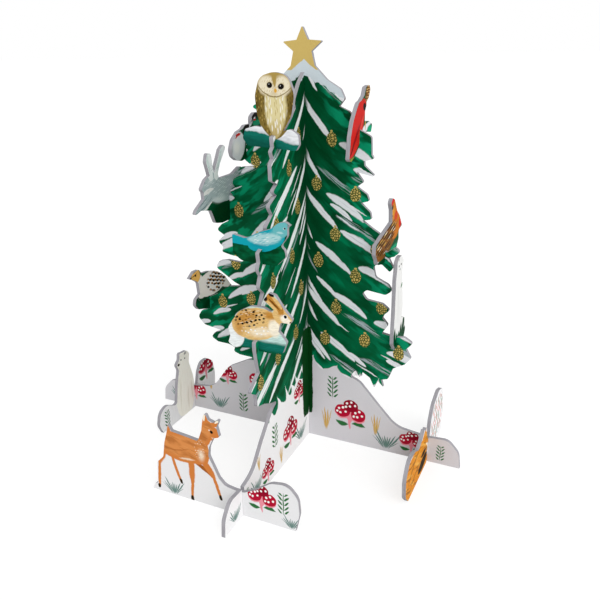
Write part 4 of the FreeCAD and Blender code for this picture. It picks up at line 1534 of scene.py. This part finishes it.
@dataclass(frozen=True)
class Studio:
    """The pale floor, the white surroundings, the soft lamp and the camera."""

    floor_half: float = 60
    floor_grey: float = 0.8
    seen_grey: float = 0.3
    seen_glow: float = 0.74
    lamp_place: tuple[float, float, float] = (1.6, -1.2, 1.7)
    lamp_spread: float = 50
    lamp_power: float = 1.5
    sky: float = 0.77
    camera_place: tuple[float, float, float] = (0.2149, -0.4722, 0.3323)
    azimuth: float = 25.1
    elevation: float = 21.05
    roll: float = -1.035
    lens: float = 38.565
    sensor: float = 36
    clip_start: float = 0.01

    def lay_floor(self) -> None:
        """Lays the matt white floor: no shine, and the tree's soft shadow on it."""
        mesh = bpy.data.meshes.new("floor")
        shape = bmesh.new()
        bmesh.ops.create_grid(shape, x_segments=1, y_segments=1, size=self.floor_half)
        shape.to_mesh(mesh)
        shape.free()
        floor = bpy.data.objects.new("floor", mesh)
        bpy.context.scene.collection.objects.link(floor)
        material = bpy.data.materials.new("matt white studio floor")
        material.use_nodes = True
        material.node_tree.nodes.clear()
        nodes = Nodes(material.node_tree)
        matt, faint = (
            nodes.add("BsdfDiffuse", {"Color": (grey, grey, grey, 1)})[0]
            for grey in (self.floor_grey, self.seen_grey)
        )
        glow = nodes.add("Emission", {"Strength": self.seen_glow})[0]
        white = nodes.add("AddShader", (faint, glow))[0]
        seen = nodes.add("LightPath")["Is Camera Ray"]
        nodes.add("OutputMaterial", (nodes.add("MixShader", (seen, matt, white))[0],))
        mesh.materials.append(material)

    def light(self) -> None:
        """Sets the white surroundings and the soft lamp."""
        world = bpy.data.worlds.new("white studio")
        world.use_nodes = True
        world.node_tree.nodes.clear()
        nodes = Nodes(world.node_tree)
        path = nodes.add("LightPath")
        seen = path["Is Camera Ray"]
        mirrored = (path["Is Glossy Ray"], path["Is Transmission Ray"])
        mirrored = nodes.add("Math MAXIMUM", mirrored)[0]
        seen = nodes.add("Math MAXIMUM", (seen, mirrored))[0]
        level = nodes.add("MapRange", {"Value": seen, "To Min": self.sky})[0]
        sky = nodes.add("Background", ((1, 1, 1, 1), level))[0]
        nodes.add("OutputWorld", (sky,))
        bpy.context.scene.world = world
        lamp = bpy.data.lights.new("soft lamp", "SUN")
        lamp.angle = math.radians(self.lamp_spread)
        lamp.energy = self.lamp_power
        holder = bpy.data.objects.new("soft lamp", lamp)
        holder.location = self.lamp_place
        holder.rotation_euler = (-Vector(self.lamp_place)).to_track_quat("-Z", "Y").to_euler()
        bpy.context.scene.collection.objects.link(holder)

    def place_camera(self) -> None:
        """Places the camera and makes it the scene's own."""
        turn, lift, tilt = map(math.radians, (self.azimuth, self.elevation, self.roll))
        back = Vector(
            (math.sin(turn) * math.cos(lift), -math.cos(turn) * math.cos(lift), math.sin(lift))
        )
        level = Vector((math.cos(turn), math.sin(turn), 0))
        upright = back.cross(level)
        right = level * math.cos(tilt) + upright * math.sin(tilt)
        up = upright * math.cos(tilt) - level * math.sin(tilt)
        lens = bpy.data.cameras.new("camera")
        lens.lens, lens.sensor_width, lens.clip_start = self.lens, self.sensor, self.clip_start
        camera = bpy.data.objects.new("camera", lens)
        facing = Matrix((right, up, back)).transposed().to_4x4()
        camera.matrix_world = Matrix.Translation(self.camera_place) @ facing
        bpy.context.scene.collection.objects.link(camera)
        bpy.context.scene.camera = camera

    def build(self) -> None:
        """Sets the whole studio."""
        self.lay_floor()
        self.light()
        self.place_camera()
        bpy.context.scene.view_settings.view_transform = "Standard"
        LOG.info("studio set")


STAR_BOARD_PLANTS = (
    Berries((Spot(42, 29, 15), Spot(99, 15, 11.5), Spot(-45, 42, 15.5), Spot(-122, 20, 12),
             Spot(-84, 44, 11))),
    Sprigs((Spot(25, 54, 11.5), Spot(124, 11, 8.5), Spot(-68, 17, 11))),
    Fan(Tuft.DRY_GRASS, (Spot(66, 30, 20), Spot(19, 26, 22), Spot(-24, 32, 20),
                         Spot(-104, 34, 13))),
    Fan(Tuft.REED, (Spot(76, 13, 12), Spot(-95, 14, 11), Spot(-20, 58, 9), Spot(-144, 12, 9))),
)
CROSS_BOARD_PLANTS = (
    Berries((Spot(-41, 25, 14.5), Spot(-84, 13, 11), Spot(-22, 54, 11), Spot(44, 32, 15),
             Spot(120, 16, 11))),
    Sprigs((Spot(-70, 38, 12), Spot(-120, 12, 9), Spot(20, 26, 12))),
    Fan(Tuft.DRY_GRASS, (Spot(-60, 18, 17), Spot(-99, 34, 14), Spot(74, 26, 18))),
    Fan(Tuft.REED, (Spot(-20, 15, 12), Spot(-104, 14, 11), Spot(98, 16, 11), Spot(-138, 11, 9))),
)
STAR_BOARD_BAUBLES = (
    Spot(24, 281, 6.5), Spot(11, 246, 6.5), Spot(44, 239, 6.5), Spot(27, 206, 6.8),
    Spot(62, 196, 6.8), Spot(12, 182, 6.8), Spot(45, 172, 6.8), Spot(28, 142, 7),
    Spot(68, 148, 7), Spot(54, 116, 7), Spot(18, 112, 7), Spot(84, 109, 7),
)
CROSS_BOARD_BAUBLES = (
    Spot(14, 262, 6.5), Spot(32, 240, 6.5), Spot(18, 208, 6.8), Spot(56, 202, 6.8),
    Spot(30, 170, 6.8), Spot(64, 160, 6.8), Spot(14, 138, 7), Spot(48, 128, 7),
    Spot(78, 118, 7), Spot(26, 102, 7), Spot(60, 94, 7), Spot(90, 86, 7),
)
SHEETS = (
    # The star board's card carries painted shade.
    TreeBoard(
        "star_tree_board", Across.X, Ink.CARD_SHADE, STAR_BOARD_PLANTS,
        seed=140, baubles=STAR_BOARD_BAUBLES, star=True,
    ),
    TreeBoard(
        "cross_tree_board", Across.Y, Ink.CARD, CROSS_BOARD_PLANTS,
        seed=230, snow=Ink.SNOW_WHITE, baubles=CROSS_BOARD_BAUBLES,
        trunk_middle=-7.5, trunk_width=15, snow_share=0.78, line_share=0.12,
        dark_share=0.9, bright_share=0.5, small_share=0.12, stroke_cell=(56, 24),
        droop=6.5, droop_power=0.58, lobe_depth=15, lobe_width=13,
    ),
    # The deer foot and the rear foot have card darkened by painted shade.
    DeerFoot("deer_foot", Across.X, Ink.CARD_SOFT_SHADE),
    BearFoot("bear_foot", Across.Y),
    FoxFoot("fox_foot", Across.Y),
    RearFoot("rear_foot", Across.X, Ink.CARD_SOFT_SHADE),
    OwlBough("owl_bough", Across.X),
    BlueBirdBough("blue_bird_bough", Across.X),
    BrownHareBough("brown_hare_bough", Across.X),
    WoodpeckerBough("woodpecker_bough", Across.Y),
    GreyHareBough("grey_hare_bough", Across.Y),
    QuailBough("quail_bough", Across.Y),
    RedBirdBough("red_bird_bough", Across.Y),
    OrangeBirdBough("orange_bird_bough", Across.Y),
    ErmineBough("ermine_bough", Across.Y, Ink.ERMINE),
    RearBough("rear_bough_high", Across.X),
    RearBough("rear_bough_middle", Across.X),
    RearBough("rear_bough_low", Across.X),
)


def main() -> None:
    """Prints every sheet and sets the studio."""
    logging.basicConfig(level=logging.INFO, format="%(name)s: %(message)s")
    for sheet in SHEETS:
        sheet.dress()
    Studio().build()


if __name__ == "__main__":
    main()
